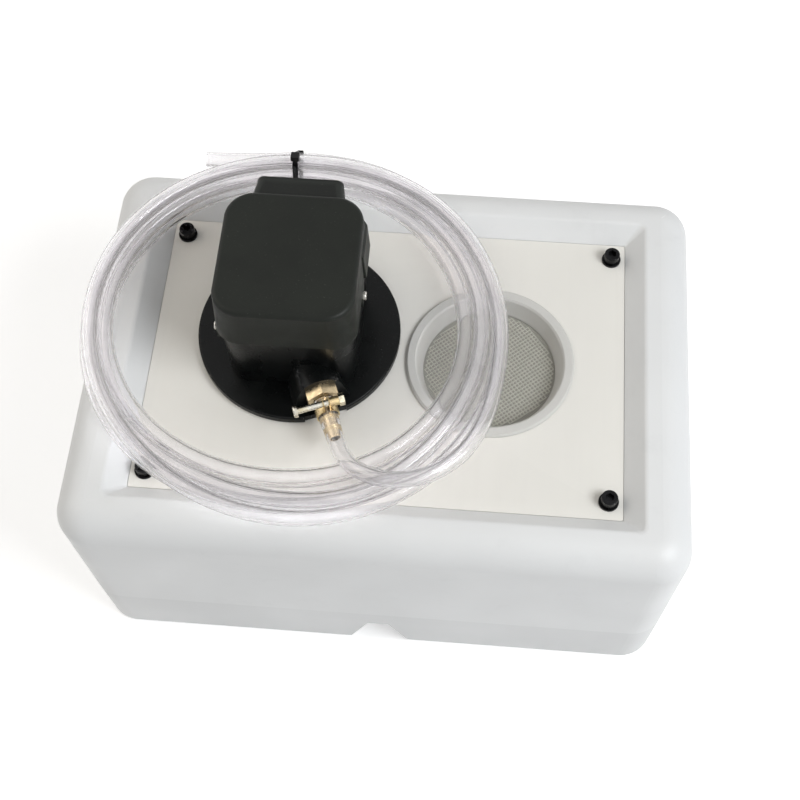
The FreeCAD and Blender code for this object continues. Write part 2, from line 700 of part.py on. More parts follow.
def motor_housing():
    cavity = prism(CAVITY_HALF, CAVITY_HALF, CAVITY_CORNER, HOUSING_FLOOR, SEAM_HEIGHT + SPIGOT_HEIGHT + 1)
    hub_top = LOWER_BEARING_FOOT + BEARING_WIDTH
    shell = housing_body().cut(cavity)
    inside = [cylinder(HUB_RADIUS, HOUSING_FLOOR - 1, hub_top)]
    inside += [cylinder(POST_RADIUS, HOUSING_FLOOR - 1, STATOR_FOOT, x, y) for x, y in post_places()]
    riser = riser_place()
    drills = [
        cylinder(BEARING_RADIUS, LOWER_BEARING_FOOT, hub_top + 1),
        cylinder(BEARING_SHOULDER_RADIUS, 0, hub_top + 1),
        cylinder(SEAL_RADIUS, 0, GASKET_THICK + SEAL_RECESS + SEAL_HEIGHT),
        cylinder(RISER_BORE, 0, OUTLET_HEIGHT, riser.x, riser.y),
        cylinder(RISER_RADIUS + RISER_FIT, 0, GASKET_THICK + RISER_SOCKET, riser.x, riser.y),
        in_outlet(rod(BARB_THREAD_RADIUS, V(BOSS_END - BARB_THREAD_LENGTH, 0, 0), V(BOSS_END + 1, 0, 0))),
        in_outlet(rod(RISER_BORE, V(RISER_OFFSET, 0, 0), V(BOSS_END, 0, 0))),
        rod(NECK_BORE, V(0, CAVITY_HALF - 1, NECK_HEIGHT), V(0, BOX_FRONT, NECK_HEIGHT)),
    ]
    drills += [cylinder(M4_RADIUS, STATOR_FOOT - POST_SCREW_BITE, STATOR_FOOT + 1, x, y)
               for x, y in post_places()]
    drills += around(cylinder(M4_RADIUS, 0, GASKET_THICK + FLANGE_SCREW_BITE, FLANGE_SCREW_CIRCLE),
                     FLANGE_SCREWS, FLANGE_SCREW_ANGLE)
    drills += around(cylinder(M4_RADIUS, 0, GASKET_THICK + COLUMN_SCREW_BITE, COLUMN_SCREW_CIRCLE),
                     COLUMN_SCREWS)
    drills += side_holes(M3_RADIUS, CAVITY_HALF - 1, COVER_FOOT_HALF)
    return cut(fused([shell] + inside), drills)


def post_places():
    return [(sx * POST_OFFSET, sy * POST_OFFSET) for sx, sy in CORNERS]


def side_screws():
    screw = pan_screw(M3_RADIUS, M3_HEAD_RADIUS, M3_HEAD_HEIGHT, SIDE_SCREW_LENGTH)
    z = SEAM_HEIGHT - SIDE_SCREW_DROP
    return [moved(lying(screw, V(side, 0, 0)), V(side * COVER_FOOT_HALF, y, z))
            for side, y in SIDE_SCREW_PLACES]


def motor_cover():
    outside = loft([motor_section(COVER_FOOT_HALF, COVER_FOOT_CORNER, SEAM_HEIGHT),
                    motor_section(COVER_TOP_HALF, COVER_TOP_CORNER, COVER_TOP)])
    outside = rounded(outside, COVER_EDGE_ROUND, level(COVER_TOP))
    inside = loft([motor_section(COVER_FOOT_HALF - COVER_WALL, COVER_FOOT_CORNER - COVER_WALL, SEAM_HEIGHT),
                   motor_section(COVER_TOP_HALF - COVER_WALL, COVER_TOP_CORNER - COVER_WALL,
                                 COVER_TOP - COVER_WALL)])
    inside = rounded(inside, COVER_EDGE_ROUND - COVER_WALL, level(COVER_TOP - COVER_WALL))
    body = fused([outside] + side_pads() + side_tabs())
    holes = side_holes(M3_RADIUS + SMALL_HOLE_CLEARANCE, CAVITY_HALF, COVER_FOOT_HALF + 1)
    return cut(body, [inside] + holes)


def stator_core():
    """Square stack with slots, a hole in each corner and a channel at the back for the leads."""
    half = CAVITY_HALF - STATOR_CLEARANCE
    core = prism(half, half, CAVITY_CORNER - STATOR_CLEARANCE, STATOR_FOOT, STATOR_TOP)
    low, high = STATOR_FOOT - 1, STATOR_TOP + 1
    slot = block(SLOT_INNER, SLOT_OUTER, -SLOT_WIDTH / 2, SLOT_WIDTH / 2, low, high)
    side = LEAD_CHANNEL_WIDTH / 2
    tools = [cylinder(STATOR_BORE, low, high)] + around(slot, STATOR_SLOTS)
    tools.append(block(-side, side, half - LEAD_CHANNEL_DEPTH, half + 1, low, high))
    tools += [cylinder(M4_RADIUS + SMALL_HOLE_CLEARANCE, low, high, x, y) for x, y in post_places()]
    return cut(core, tools)


def stator_windings():
    """Copper in the slots, joined by an end turn above and below the core."""
    inner, outer = SLOT_INNER + WINDING_CLEARANCE, SLOT_OUTER - WINDING_CLEARANCE
    half = SLOT_WIDTH / 2 - WINDING_CLEARANCE
    bars = around(block(inner, outer, -half, half, STATOR_FOOT - 1, STATOR_TOP + 1), STATOR_SLOTS)
    turns = [ring(outer, inner, STATOR_FOOT - WINDING_OVERHANG, STATOR_FOOT),
             ring(outer, inner, STATOR_TOP, STATOR_TOP + WINDING_OVERHANG)]
    return fused(turns + bars)


def rotor_core():
    radius = STATOR_BORE - AIR_GAP
    core = cylinder(radius, STATOR_FOOT, STATOR_TOP)
    ends = [cylinder(radius - AIR_GAP, STATOR_FOOT - ROTOR_END_RING, STATOR_FOOT),
            cylinder(radius - AIR_GAP, STATOR_TOP, STATOR_TOP + ROTOR_END_RING)]
    hollows = [cylinder(ROTOR_END_RING_INNER, STATOR_FOOT - ROTOR_END_RING - 1, STATOR_FOOT),
               cylinder(ROTOR_END_RING_INNER, STATOR_TOP, STATOR_TOP + ROTOR_END_RING + 1),
               cylinder(SHAFT_ROTOR_RADIUS, 0, BRACKET_FOOT)]
    return cut(fused([core] + ends), hollows)


def shaft():
    lower, upper = LOWER_BEARING_FOOT + BEARING_WIDTH, UPPER_BEARING_FOOT
    groove_foot = upper + BEARING_WIDTH
    thin = SHAFT_RADIUS - CIRCLIP_DEPTH
    return turned([
        (0, HUB_FOOT - M6_STUD), (M6_RADIUS, HUB_FOOT - M6_STUD), (M6_RADIUS, HUB_FOOT),
        (SHAFT_RADIUS, HUB_FOOT), (SHAFT_RADIUS, lower), (SHAFT_ROTOR_RADIUS, lower),
        (SHAFT_ROTOR_RADIUS, upper), (SHAFT_RADIUS, upper), (SHAFT_RADIUS, groove_foot),
        (thin, groove_foot), (thin, groove_foot + CIRCLIP_THICK),
        (SHAFT_RADIUS, groove_foot + CIRCLIP_THICK), (SHAFT_RADIUS, SHAFT_TOP), (0, SHAFT_TOP),
    ])


def circlip():
    foot = UPPER_BEARING_FOOT + BEARING_WIDTH
    clip = ring(CIRCLIP_RADIUS, SHAFT_RADIUS - CIRCLIP_DEPTH, foot, foot + CIRCLIP_THICK)
    return clip.cut(block(0, CIRCLIP_RADIUS + 1, -SHAFT_RADIUS / 2, SHAFT_RADIUS / 2, foot - 1,
                          foot + CIRCLIP_THICK + 1))


def bearing(foot):
    """Outer ring, inner ring, cage and balls of a deep-groove ball bearing."""
    middle = foot + BEARING_WIDTH / 2
    track = Part.makeTorus(BALL_CIRCLE, BALL_RADIUS + BALL_CLEARANCE, V(0, 0, middle))
    outer = ring(BEARING_RADIUS, OUTER_RING_INNER, foot, foot + BEARING_WIDTH).cut(track)
    inner = ring(INNER_RING_RADIUS, SHAFT_RADIUS, foot, foot + BEARING_WIDTH).cut(track)
    cage = ring(BALL_CIRCLE + CAGE_HALF_WALL, BALL_CIRCLE - CAGE_HALF_WALL, middle - CAGE_HEIGHT / 2,
                middle + CAGE_HEIGHT / 2)
    pocket = rod(BALL_RADIUS + CAGE_CLEARANCE, V(INNER_RING_RADIUS, 0, middle),
                 V(OUTER_RING_INNER, 0, middle))
    balls = around(Part.makeSphere(BALL_RADIUS, V(BALL_CIRCLE, 0, middle)), BALL_COUNT)
    return outer, inner, cut(cage, around(pocket, BALL_COUNT)), balls


def upper_bracket():
    """Plate on four pillars that stands on the stator and holds the upper bearing in its hub."""
    plate = prism(BRACKET_HALF, BRACKET_HALF, CAVITY_CORNER, BRACKET_FOOT, BRACKET_TOP)
    pillars = [cylinder(PILLAR_RADIUS, STATOR_TOP, BRACKET_FOOT, x, y) for x, y in post_places()]
    hub_top = UPPER_BEARING_FOOT + BEARING_WIDTH
    hub = cylinder(HUB_RADIUS, BRACKET_TOP, hub_top)
    holes = [cylinder(BEARING_SHOULDER_RADIUS, BRACKET_FOOT - 1, hub_top + 1),
             cylinder(BEARING_RADIUS, UPPER_BEARING_FOOT, hub_top + 1)]
    holes += [cylinder(M4_RADIUS + SMALL_HOLE_CLEARANCE, STATOR_TOP - 1, BRACKET_TOP + 1, x, y)
              for x, y in post_places()]
    return cut(fused([plate, hub] + pillars), holes)


def bracket_screws():
    screw = m4_screw(BRACKET_TOP - STATOR_FOOT + POST_SCREW_BITE)
    return [moved(screw, V(x, y, BRACKET_TOP)) for x, y in post_places()]


def shaft_seal():
    foot = GASKET_THICK + SEAL_RECESS
    return ring(SEAL_RADIUS, SHAFT_RADIUS + RUNNING_CLEARANCE, foot, foot + SEAL_HEIGHT)


def column():
    """Support column with the volute chamber at its foot, open below, and the riser's socket."""
    top = GASKET_THICK
    flange = cylinder(COLUMN_FLANGE_RADIUS, top - COLUMN_FLANGE_THICK, top)
    tube = cylinder(COLUMN_RADIUS, VOLUTE_ROOF - 1, top)
    volute = cylinder(VOLUTE_RADIUS, VOLUTE_FOOT, VOLUTE_ROOF)
    riser = riser_place()
    socket_top = VOLUTE_ROOF + VOLUTE_ROOF_THICK
    socket = cylinder(RISER_RADIUS + RISER_SOCKET_WALL, VOLUTE_FOOT, socket_top, riser.x, riser.y)
    duct_height = V(0, 0, DUCT_HEIGHT)
    cuts = [
        cylinder(COLUMN_RADIUS - COLUMN_WALL, VOLUTE_ROOF, top + 1),
        cylinder(SHAFT_RADIUS + 1, VOLUTE_FOOT, VOLUTE_ROOF + 1),
        cylinder(VOLUTE_INNER, VOLUTE_FOOT - 1, VOLUTE_ROOF - VOLUTE_ROOF_THICK),
        cylinder(RISER_RADIUS + RISER_FIT, socket_top - RISER_SOCKET, socket_top + 1, riser.x, riser.y),
        cylinder(RISER_BORE, DUCT_HEIGHT, socket_top, riser.x, riser.y),
        rod(RISER_BORE, duct_height + riser * (IMPELLER_RADIUS / RISER_OFFSET), duct_height + riser),
        rod(DRAIN_HOLE_RADIUS, V(-COLUMN_RADIUS - 1, 0, top - DRAIN_HOLE_DEPTH),
            V(COLUMN_RADIUS + 1, 0, top - DRAIN_HOLE_DEPTH)),
    ]
    cuts += around(cylinder(M4_RADIUS + SMALL_HOLE_CLEARANCE, top - COLUMN_FLANGE_THICK - 1, top + 1,
                            COLUMN_SCREW_CIRCLE), COLUMN_SCREWS)
    cuts += around(cylinder(M3_RADIUS, VOLUTE_FOOT - 1, VOLUTE_FOOT + M3_BITE, SUCTION_SCREW_CIRCLE),
                   SUCTION_SCREWS)
    return cut(fused([flange, tube, volute, socket]), cuts)


def impeller():
    """Half-open impeller: back plate, hub and vanes that sweep back from the hub."""
    vane_foot = VOLUTE_FOOT + VANE_CLEARANCE
    plate_foot = IMPELLER_TOP - IMPELLER_PLATE
    plate = cylinder(IMPELLER_RADIUS, plate_foot, IMPELLER_TOP)
    hub = cylinder(IMPELLER_HUB_RADIUS, HUB_FOOT, IMPELLER_TOP)
    places = ((IMPELLER_HUB_RADIUS - 1, 0), (IMPELLER_RADIUS * VANE_BEND, VANE_SWEEP * VANE_BEND / 2),
              (IMPELLER_RADIUS - VANE_SETBACK, VANE_SWEEP))
    points = [V(r * math.cos(math.radians(a)), -r * math.sin(math.radians(a)), vane_foot) for r, a in places]
    curve = Part.Arc(*points).toShape()
    back = curve.copy()
    back.rotate(V(0, 0, vane_foot), V(0, 0, 1), -VANE_ANGLE)
    ends = [(edge.valueAt(edge.FirstParameter), edge.valueAt(edge.LastParameter)) for edge in (curve, back)]
    outline = Part.Wire([curve, Part.LineSegment(ends[0][1], ends[1][1]).toShape(), back,
                         Part.LineSegment(ends[1][0], ends[0][0]).toShape()])
    vane = Part.Face(outline).extrude(V(0, 0, plate_foot + 0.5 - vane_foot))
    body = fused([plate, hub] + around(vane, IMPELLER_VANES))
    return body.cut(cylinder(SHAFT_RADIUS, VOLUTE_FOOT, IMPELLER_TOP + 1))


def impeller_nut():
    nut = hexagon(M6_NUT_ACROSS_FLATS, HUB_FOOT - M6_NUT_HEIGHT, HUB_FOOT)
    return nut.cut(cylinder(M6_RADIUS, HUB_FOOT - M6_NUT_HEIGHT - 1, HUB_FOOT + 1))


def suction_cover():
    """Plate under the volute with the suction mouth inside a slotted cage."""
    foot = SUCTION_FOOT - CAGE_RING_HEIGHT
    plate = cylinder(VOLUTE_RADIUS, SUCTION_FOOT, VOLUTE_FOOT)
    cage = cylinder(CAGE_RING_RADIUS, foot, SUCTION_FOOT + 1)
    hollow = cylinder(CAGE_RING_RADIUS - CAGE_RING_WALL, foot + CAGE_FLOOR, SUCTION_FOOT)
    slot = block(CAGE_RING_RADIUS - 2 * CAGE_RING_WALL, CAGE_RING_RADIUS + 1, -CAGE_SLOT_WIDTH / 2,
                 CAGE_SLOT_WIDTH / 2, SUCTION_FOOT - CAGE_SLOT_HEIGHT, SUCTION_FOOT)
    cuts = [hollow, cylinder(SUCTION_MOUTH_RADIUS, SUCTION_FOOT - 1, VOLUTE_FOOT + 1)]
    cuts += around(slot, CAGE_SLOTS)
    cuts += around(cylinder(M3_RADIUS + SMALL_HOLE_CLEARANCE, foot, VOLUTE_FOOT + 1, SUCTION_SCREW_CIRCLE),
                   SUCTION_SCREWS)
    return cut(fused([plate, cage]), cuts)


def suction_screws():
    screw = pan_screw(M3_RADIUS, M3_HEAD_RADIUS, M3_HEAD_HEIGHT, SUCTION_PLATE + M3_BITE)
    screw = moved(spun(screw, 180, V(1, 0, 0)), V(SUCTION_SCREW_CIRCLE, 0, SUCTION_FOOT))
    return around(screw, SUCTION_SCREWS)


def riser_ends():
    top = GASKET_THICK + RISER_SOCKET - RISER_FIT
    foot = VOLUTE_ROOF + VOLUTE_ROOF_THICK - RISER_SOCKET + RISER_FIT
    return foot, top


def o_ring_feet():
    foot, top = riser_ends()
    return foot + O_RING_HEIGHT, top - 2 * O_RING_HEIGHT


def riser_pipe():
    foot, top = riser_ends()
    pipe = ring(RISER_RADIUS, RISER_BORE, foot, top)
    floor = RISER_RADIUS - O_RING_DEPTH
    grooves = [ring(RISER_RADIUS + 1, floor, z, z + O_RING_HEIGHT) for z in o_ring_feet()]
    return moved(cut(pipe, grooves), riser_place())


def o_rings():
    return [moved(ring(RISER_RADIUS + RISER_FIT, RISER_RADIUS - O_RING_DEPTH, z, z + O_RING_HEIGHT),
                  riser_place()) for z in o_ring_feet()]


def flange_screws():
    screw = spun(m4_screw(PLATE_THICK + GASKET_THICK + FLANGE_SCREW_BITE), 180, V(1, 0, 0))
    return around(moved(screw, V(FLANGE_SCREW_CIRCLE, 0, -PLATE_THICK)), FLANGE_SCREWS, FLANGE_SCREW_ANGLE)


def column_screws():
    screw = spun(m4_screw(COLUMN_FLANGE_THICK + COLUMN_SCREW_BITE), 180, V(1, 0, 0))
    head = V(COLUMN_SCREW_CIRCLE, 0, GASKET_THICK - COLUMN_FLANGE_THICK)
    return around(moved(screw, head), COLUMN_SCREWS)


def flange_gasket():
    gasket = ring(FLANGE_RADIUS - FLANGE_NOTCH_DEPTH - GASKET_EDGE, PUMP_HOLE_RADIUS, 0, GASKET_THICK)
    hole = cylinder(M4_RADIUS + SMALL_HOLE_CLEARANCE, -1, GASKET_THICK + 1, FLANGE_SCREW_CIRCLE)
    return cut(gasket, around(hole, FLANGE_SCREWS, FLANGE_SCREW_ANGLE))


def along_x(profile):
    """Solid turned about the X axis from a closed outline of (distance, radius) points."""
    return spun(turned([(r, x) for x, r in profile]), 90, V(0, 1, 0))


def barb_solid():
    """Hose barb without its bore, with its steps pointing back towards the hexagon."""
    thread = BOSS_END - BARB_THREAD_LENGTH
    root = HEX_END + BARB_ROOT_LENGTH
    profile = [(thread, 0), (thread, BARB_THREAD_RADIUS), (BOSS_END, BARB_THREAD_RADIUS),
               (BOSS_END, BARB_ROOT_RADIUS), (root, BARB_ROOT_RADIUS)]
    for i in range(BARB_STEPS):
        last = i == BARB_STEPS - 1
        profile.append((root + i * BARB_STEP, BARB_RADIUS))
        profile.append((root + (i + 1) * BARB_STEP, BARB_TIP_RADIUS if last else BARB_WAIST_RADIUS))
    profile.append((BARB_TIP, 0))
    nut = spun(spun(hexagon(BARB_HEX, BOSS_END, HEX_END), 30), 90, V(0, 1, 0))
    return fused([along_x(profile), nut])


def hose_barb():
    bore = rod(BARB_BORE, V(BOSS_END - BARB_THREAD_LENGTH - 1, 0, 0), V(BARB_TIP + 1, 0, 0))
    return in_outlet(barb_solid().cut(bore))


def coil_ring():
    """Outer shape of the coil: two circles that are not concentric, so it is widest at the front."""
    z0 = PLATE_SETBACK
    outer = cylinder(COIL_RADIUS, z0, z0 + COIL_HEIGHT, COIL_X, COIL_Y)
    inner = cylinder(COIL_INNER_RADIUS, z0 - 1, z0 + COIL_HEIGHT + 1, COIL_INNER_X, COIL_INNER_Y)
    body = outer.cut(inner)
    return rounded(body, COIL_ROUND, lambda p: min(abs(p.z - z0), abs(p.z - z0 - COIL_HEIGHT)) < SAME)


def hose_coil():
    return moved(coil_ring(), V(0, 0, PLATE_TOP_Z))


def hose_tail():
    """Straight free end of the hose, where it leaves the coil's outer side."""
    end = V(TAIL_END_X, COIL_Y + COIL_RADIUS - TAIL_INSET, PLATE_SETBACK + TAIL_HEIGHT)
    start = end + V(TAIL_LENGTH, 0, 0)
    tail = rod(HOSE_RADIUS, start, end).cut(rod(HOSE_BORE, start, end - V(1, 0, 0)))
    end_piece = min(tail.cut(coil_ring()).Solids, key=lambda solid: solid.CenterOfMass.x)
    return moved(end_piece, V(0, 0, PLATE_TOP_Z))


def hose_lead():
    """Hose that swells over the barb and runs straight on to the coil's inner side."""
    start, reach = HEX_END + HOSE_GAP, COIL_INNER_RADIUS + LEAD_OVERRUN
    outside = along_x([(start, 0), (start, HOSE_SWELL), (HOSE_SWELL_END, HOSE_SWELL),
                       (HOSE_TAPER_END, HOSE_RADIUS), (reach, HOSE_RADIUS), (reach, 0)])
    inside = along_x([(start - 1, 0), (start - 1, HOSE_SWELL_BORE), (HOSE_SWELL_END, HOSE_SWELL_BORE),
                      (HOSE_TAPER_END, HOSE_BORE), (reach + 1, HOSE_BORE), (reach + 1, 0)])
    coil = moved(coil_ring(), V(-PUMP_X, -PUMP_Y, 0))
    pieces = in_outlet(outside.cut(inside)).cut(coil).Solids
    return min(pieces, key=lambda solid: solid.CenterOfMass.Length)


def clamp_band():
    """Strip round the hose whose two ears stand up to meet the screw."""
    inner = HOSE_SWELL + CLAMP_CLEARANCE
    outer = inner + CLAMP_THICK
    x0, x1 = CLAMP_OFFSET - CLAMP_WIDTH / 2, CLAMP_OFFSET + CLAMP_WIDTH / 2
    top, gap = outer + CLAMP_EAR_HEIGHT, CLAMP_EAR_GAP / 2
    band = along_x([(x0, inner), (x0, outer), (x1, outer), (x1, inner)])
    mouth = block(x0 - 1, x1 + 1, -gap, gap, 0, top + 1)
    root = inner - CLAMP_THICK
    ears = [block(x0, x1, gap, gap + CLAMP_THICK, root, top),
            block(x0, x1, -gap - CLAMP_THICK, -gap, root, top)]
    bore = rod(inner, V(x0 - 1, 0, 0), V(x1 + 1, 0, 0))
    place = clamp_screw_place()
    hole = rod(M4_RADIUS, place - V(0, inner, 0), place + V(0, inner, 0))
    return in_outlet(cut(fused([band.cut(mouth)] + ears), [bore, hole]))


def clamp_screw_place():
    return V(CLAMP_OFFSET, 0, HOSE_SWELL + CLAMP_CLEARANCE + CLAMP_THICK + CLAMP_SCREW_STAND)


def clamp_screw():
    """Long cross-head screw that lies across the hose, its head towards the left."""
    screw = pan_screw(M4_RADIUS, M4_HEAD_RADIUS, CLAMP_HEAD_LENGTH, CLAMP_SCREW_LEFT + CLAMP_SCREW_RIGHT)
    screw = moved(lying(screw, V(0, -1, 0)), V(0, -CLAMP_SCREW_LEFT, 0))
    return in_outlet(moved(screw, clamp_screw_place()))


def clamp_nut():
    nut = hexagon(CLAMP_NUT_ACROSS_FLATS, 0, CLAMP_NUT_LENGTH)
    nut = nut.cut(cylinder(M4_RADIUS, -1, CLAMP_NUT_LENGTH + 1))
    return in_outlet(moved(lying(nut, V(0, 1, 0)), clamp_screw_place() + V(0, CLAMP_BARREL_END, 0)))


def clamp_barrel():
    """Sleeve on the screw between the right ear and the nut."""
    place = clamp_screw_place()
    start, end = V(0, CLAMP_EAR_GAP / 2 + CLAMP_THICK, 0), V(0, CLAMP_BARREL_END, 0)
    sleeve = rod(CLAMP_BARREL_RADIUS, place + start, place + end)
    return in_outlet(sleeve.cut(rod(M4_RADIUS, place, place + end + start)))


def cable_tie():
    """Strap round the coil at the back, with its lock head on top."""
    half = TIE_WIDTH / 2
    y_in = COIL_INNER_Y + math.sqrt(COIL_INNER_RADIUS ** 2 - (COIL_INNER_X - TIE_X - half) ** 2)
    y_out = COIL_Y + math.sqrt(COIL_RADIUS ** 2 - (COIL_X - TIE_X - half) ** 2)
    strap = TIE_GAP + TIE_THICK
    outer = strap_block(half, y_in - TIE_SLACK, y_out, strap, COIL_ROUND)
    inner = strap_block(half + 1, y_in - TIE_SLACK, y_out, TIE_GAP, COIL_ROUND - TIE_THICK)
    top = PLATE_SETBACK + COIL_HEIGHT + TIE_GAP
    half_head = TIE_HEAD / 2
    head_y = COIL_Y + COIL_RADIUS - TIE_HEAD_INSET
    head = block(TIE_X - half_head, TIE_X + half_head, head_y - half_head, head_y + half_head,
                 top, top + TIE_HEAD_HEIGHT)
    return moved(fused([outer.cut(inner), head]), V(0, 0, PLATE_TOP_Z))


def strap_block(half, y0, y1, grow, corner):
    """Block round the coil's section, rounded along its four long edges."""
    body = block(TIE_X - half, TIE_X + half, y0 - grow, y1 + grow, PLATE_SETBACK - grow,
                 PLATE_SETBACK + COIL_HEIGHT + grow)
    return body.makeFillet(corner, [edge for edge in body.Edges if abs(edge.CenterOfMass.x - TIE_X) < SAME])


def box_section(half, inset, y):
    """Outline of the terminal box at one distance behind the axis, as it lies before it is stood up."""
    return half - inset, (BOX_TOP - BOX_FOOT) / 2 - inset, BOX_CORNER - inset, y


def stood_up(shape):
    """Turns a shape made along Z to face the back, centred at the terminal box's height."""
    return moved(lying(shape, V(0, 1, 0)), V(0, 0, (BOX_TOP + BOX_FOOT) / 2))


def terminal_box():
    """Open box whose mouth faces the back, with a neck to the housing."""
    back = BOX_FRONT + BOX_DEPTH
    middle = (BOX_FRONT + back) / 2
    outside = stood_up(loft([box_section(BOX_FRONT_HALF, 0, BOX_FRONT),
                             box_section(BOX_BACK_HALF, 0, back)]))
    inside = stood_up(loft([box_section(BOX_FRONT_HALF, BOX_WALL, BOX_FRONT + BOX_WALL),
                            box_section(BOX_BACK_HALF, BOX_WALL, back + 1)]))
    neck = rod(NECK_RADIUS, V(0, HOUSING_TOP_HALF, NECK_HEIGHT), V(0, BOX_FRONT + 1, NECK_HEIGHT))
    posts = [rod(LID_POST_RADIUS, V(p.x, BOX_FRONT + 1, p.z), V(p.x, back, p.z)) for p in lid_screw_places()]
    body = fused([outside.cut(inside), neck.cut(housing_body())] + posts)
    drills = [rod(NECK_BORE, V(0, HOUSING_FOOT_HALF, NECK_HEIGHT), V(0, middle, NECK_HEIGHT))]
    drills += [rod(M3_RADIUS, V(p.x, back - LID_SCREW_BITE, p.z), V(p.x, back + 1, p.z))
               for p in lid_screw_places()]
    return cut(body, drills)


def lid_screw_places():
    return [V(sx * LID_SCREW_X, 0, z) for sx in (1, -1)
            for z in (BOX_FOOT + LID_SCREW_INSET, BOX_TOP - LID_SCREW_INSET)]


def terminal_lid():
    back = BOX_FRONT + BOX_DEPTH
    outline = box_section(BOX_BACK_HALF, 0, back)
    lid = stood_up(Part.Face(rounded_wire(*outline)).extrude(V(0, 0, LID_THICK)))
    lid = rounded(lid, LID_ROUND, lambda p: abs(p.y - back - LID_THICK) < SAME)
    holes = [rod(M3_RADIUS + SMALL_HOLE_CLEARANCE, V(p.x, back - 1, p.z), V(p.x, back + LID_THICK + 1, p.z))
             for p in lid_screw_places()]
    return cut(lid, holes + [rod(GLAND_THREAD, V(0, back - 1, GLAND_HEIGHT), V(0, back + LID_THICK + 1,
                                                                               GLAND_HEIGHT))])


def lid_screws():
    back = BOX_FRONT + BOX_DEPTH + LID_THICK
    screw = pan_screw(M3_RADIUS, M3_HEAD_RADIUS, M3_HEAD_HEIGHT, LID_THICK + LID_SCREW_BITE)
    return [moved(lying(screw, V(0, 1, 0)), p + V(0, back, 0)) for p in lid_screw_places()]


def terminal_block():
    wide, deep, high = BLOCK_SIZE
    front = BOX_FRONT + BOX_WALL
    body = block(-wide / 2, wide / 2, front, front + deep, BLOCK_HEIGHT - high / 2, BLOCK_HEIGHT + high / 2)
    drills = [rod(M3_RADIUS, V(x, front + 1, BLOCK_HEIGHT), V(x, front + deep + 1, BLOCK_HEIGHT))
              for x in (-BLOCK_SCREW_PITCH, 0, BLOCK_SCREW_PITCH)]
    return cut(body, drills)


def terminal_screws():
    front = BOX_FRONT + BOX_WALL + BLOCK_SIZE[1]
    screw = lying(pan_screw(M3_RADIUS, M3_HEAD_RADIUS, M3_HEAD_HEIGHT, BLOCK_SIZE[1] - 1), V(0, 1, 0))
    return [moved(screw, V(x, front, BLOCK_HEIGHT)) for x in (-BLOCK_SCREW_PITCH, 0, BLOCK_SCREW_PITCH)]


def on_gland(shape):
    """Places a piece made upright, outside end up, on the gland's axis at the lid's outer face."""
    return moved(lying(shape, V(0, 1, 0)), V(0, BOX_FRONT + BOX_DEPTH + LID_THICK, GLAND_HEIGHT))


def gland_body():
    tube = cylinder(GLAND_THREAD, -GLAND_INSIDE, GLAND_OUTSIDE)
    flange = hexagon(GLAND_HEX, 0, GLAND_HEX_LENGTH)
    return on_gland(fused([tube, flange]).cut(cylinder(GLAND_BORE, -GLAND_INSIDE - 1, GLAND_OUTSIDE + 1)))


def gland_nut():
    """Cap nut over the gland's outer thread, domed at its mouth."""
    foot = GLAND_HEX_LENGTH + GLAND_NUT_GAP
    top = foot + GLAND_NUT_LENGTH
    nut = fused([hexagon(GLAND_HEX, foot, top - GLAND_DOME),
                 Part.makeCone(GLAND_HEX / 2, GLAND_BORE + 1, GLAND_DOME, V(0, 0, top - GLAND_DOME))])
    bore = cylinder(GLAND_THREAD, foot - 1, GLAND_OUTSIDE + GLAND_NUT_GAP)
    return on_gland(cut(nut, [bore, cylinder(GLAND_BORE, foot, top + 1)]))


def gland_seal():
    return on_gland(ring(GLAND_BORE, CABLE_RADIUS, GLAND_HEX_LENGTH / 2, GLAND_OUTSIDE))


def gland_locknut():
    """Thin nut that holds the gland from inside the box."""
    foot = -LID_THICK - LOCKNUT_THICK
    nut = hexagon(GLAND_HEX, foot, -LID_THICK)
    return on_gland(nut.cut(cylinder(GLAND_THREAD, foot - 1, 0)))


def slinger():
    return ring(SLINGER_RADIUS, SHAFT_RADIUS, SLINGER_TOP - SLINGER_THICK, SLINGER_TOP)


def build_tank():
    save("tank_shell", [tank_shell()])
    save("cover_plate", [cover_plate()])
    save("plate_inserts", [moved(insert(), p) for p in plate_screw_places()])
    save("plate_washers", [moved(plate_washer(), p) for p in plate_screw_places()])
    save("plate_screws", [moved(socket_screw(), p) for p in plate_screw_places()])
    strainer = V(STRAINER_X, STRAINER_Y, PLATE_TOP_Z)
    save("strainer_cup", [strainer_cup()], strainer)
    save("strainer_mesh", [strainer_mesh()], strainer)


def build_motor():
    save("flange_gasket", [flange_gasket()], PUMP)
    save("flange_screws", flange_screws(), PUMP)
    save("motor_housing", [motor_housing()], PUMP)
    save("motor_cover", [motor_cover()], PUMP)
    save("side_screws", side_screws(), PUMP)
    save("stator_core", [stator_core()], PUMP)
    save("stator_windings", [stator_windings()], PUMP)
    save("upper_bracket", [upper_bracket()], PUMP)
    save("bracket_screws", bracket_screws(), PUMP)
    save("rotor_core", [rotor_core()], PUMP)
    save("shaft", [shaft()], PUMP)
    save("shaft_circlip", [circlip()], PUMP)
    save("shaft_seal", [shaft_seal()], PUMP)
    save("slinger", [slinger()], PUMP)
    for name, foot in (("lower", LOWER_BEARING_FOOT), ("upper", UPPER_BEARING_FOOT)):
        outer, inner, cage, balls = bearing(foot)
        save(name + "_bearing_outer_ring", [outer], PUMP)
        save(name + "_bearing_inner_ring", [inner], PUMP)
        save(name + "_bearing_cage", [cage], PUMP)
        save(name + "_bearing_balls", balls, PUMP)


def build_wet_end():
    save("column", [column()], PUMP)
    save("column_screws", column_screws(), PUMP)
    save("impeller", [impeller()], PUMP)
    save("impeller_nut", [impeller_nut()], PUMP)
    save("suction_cover", [suction_cover()], PUMP)
    save("suction_screws", suction_screws(), PUMP)
    save("riser_pipe", [riser_pipe()], PUMP)
    save("riser_o_rings", o_rings(), PUMP)


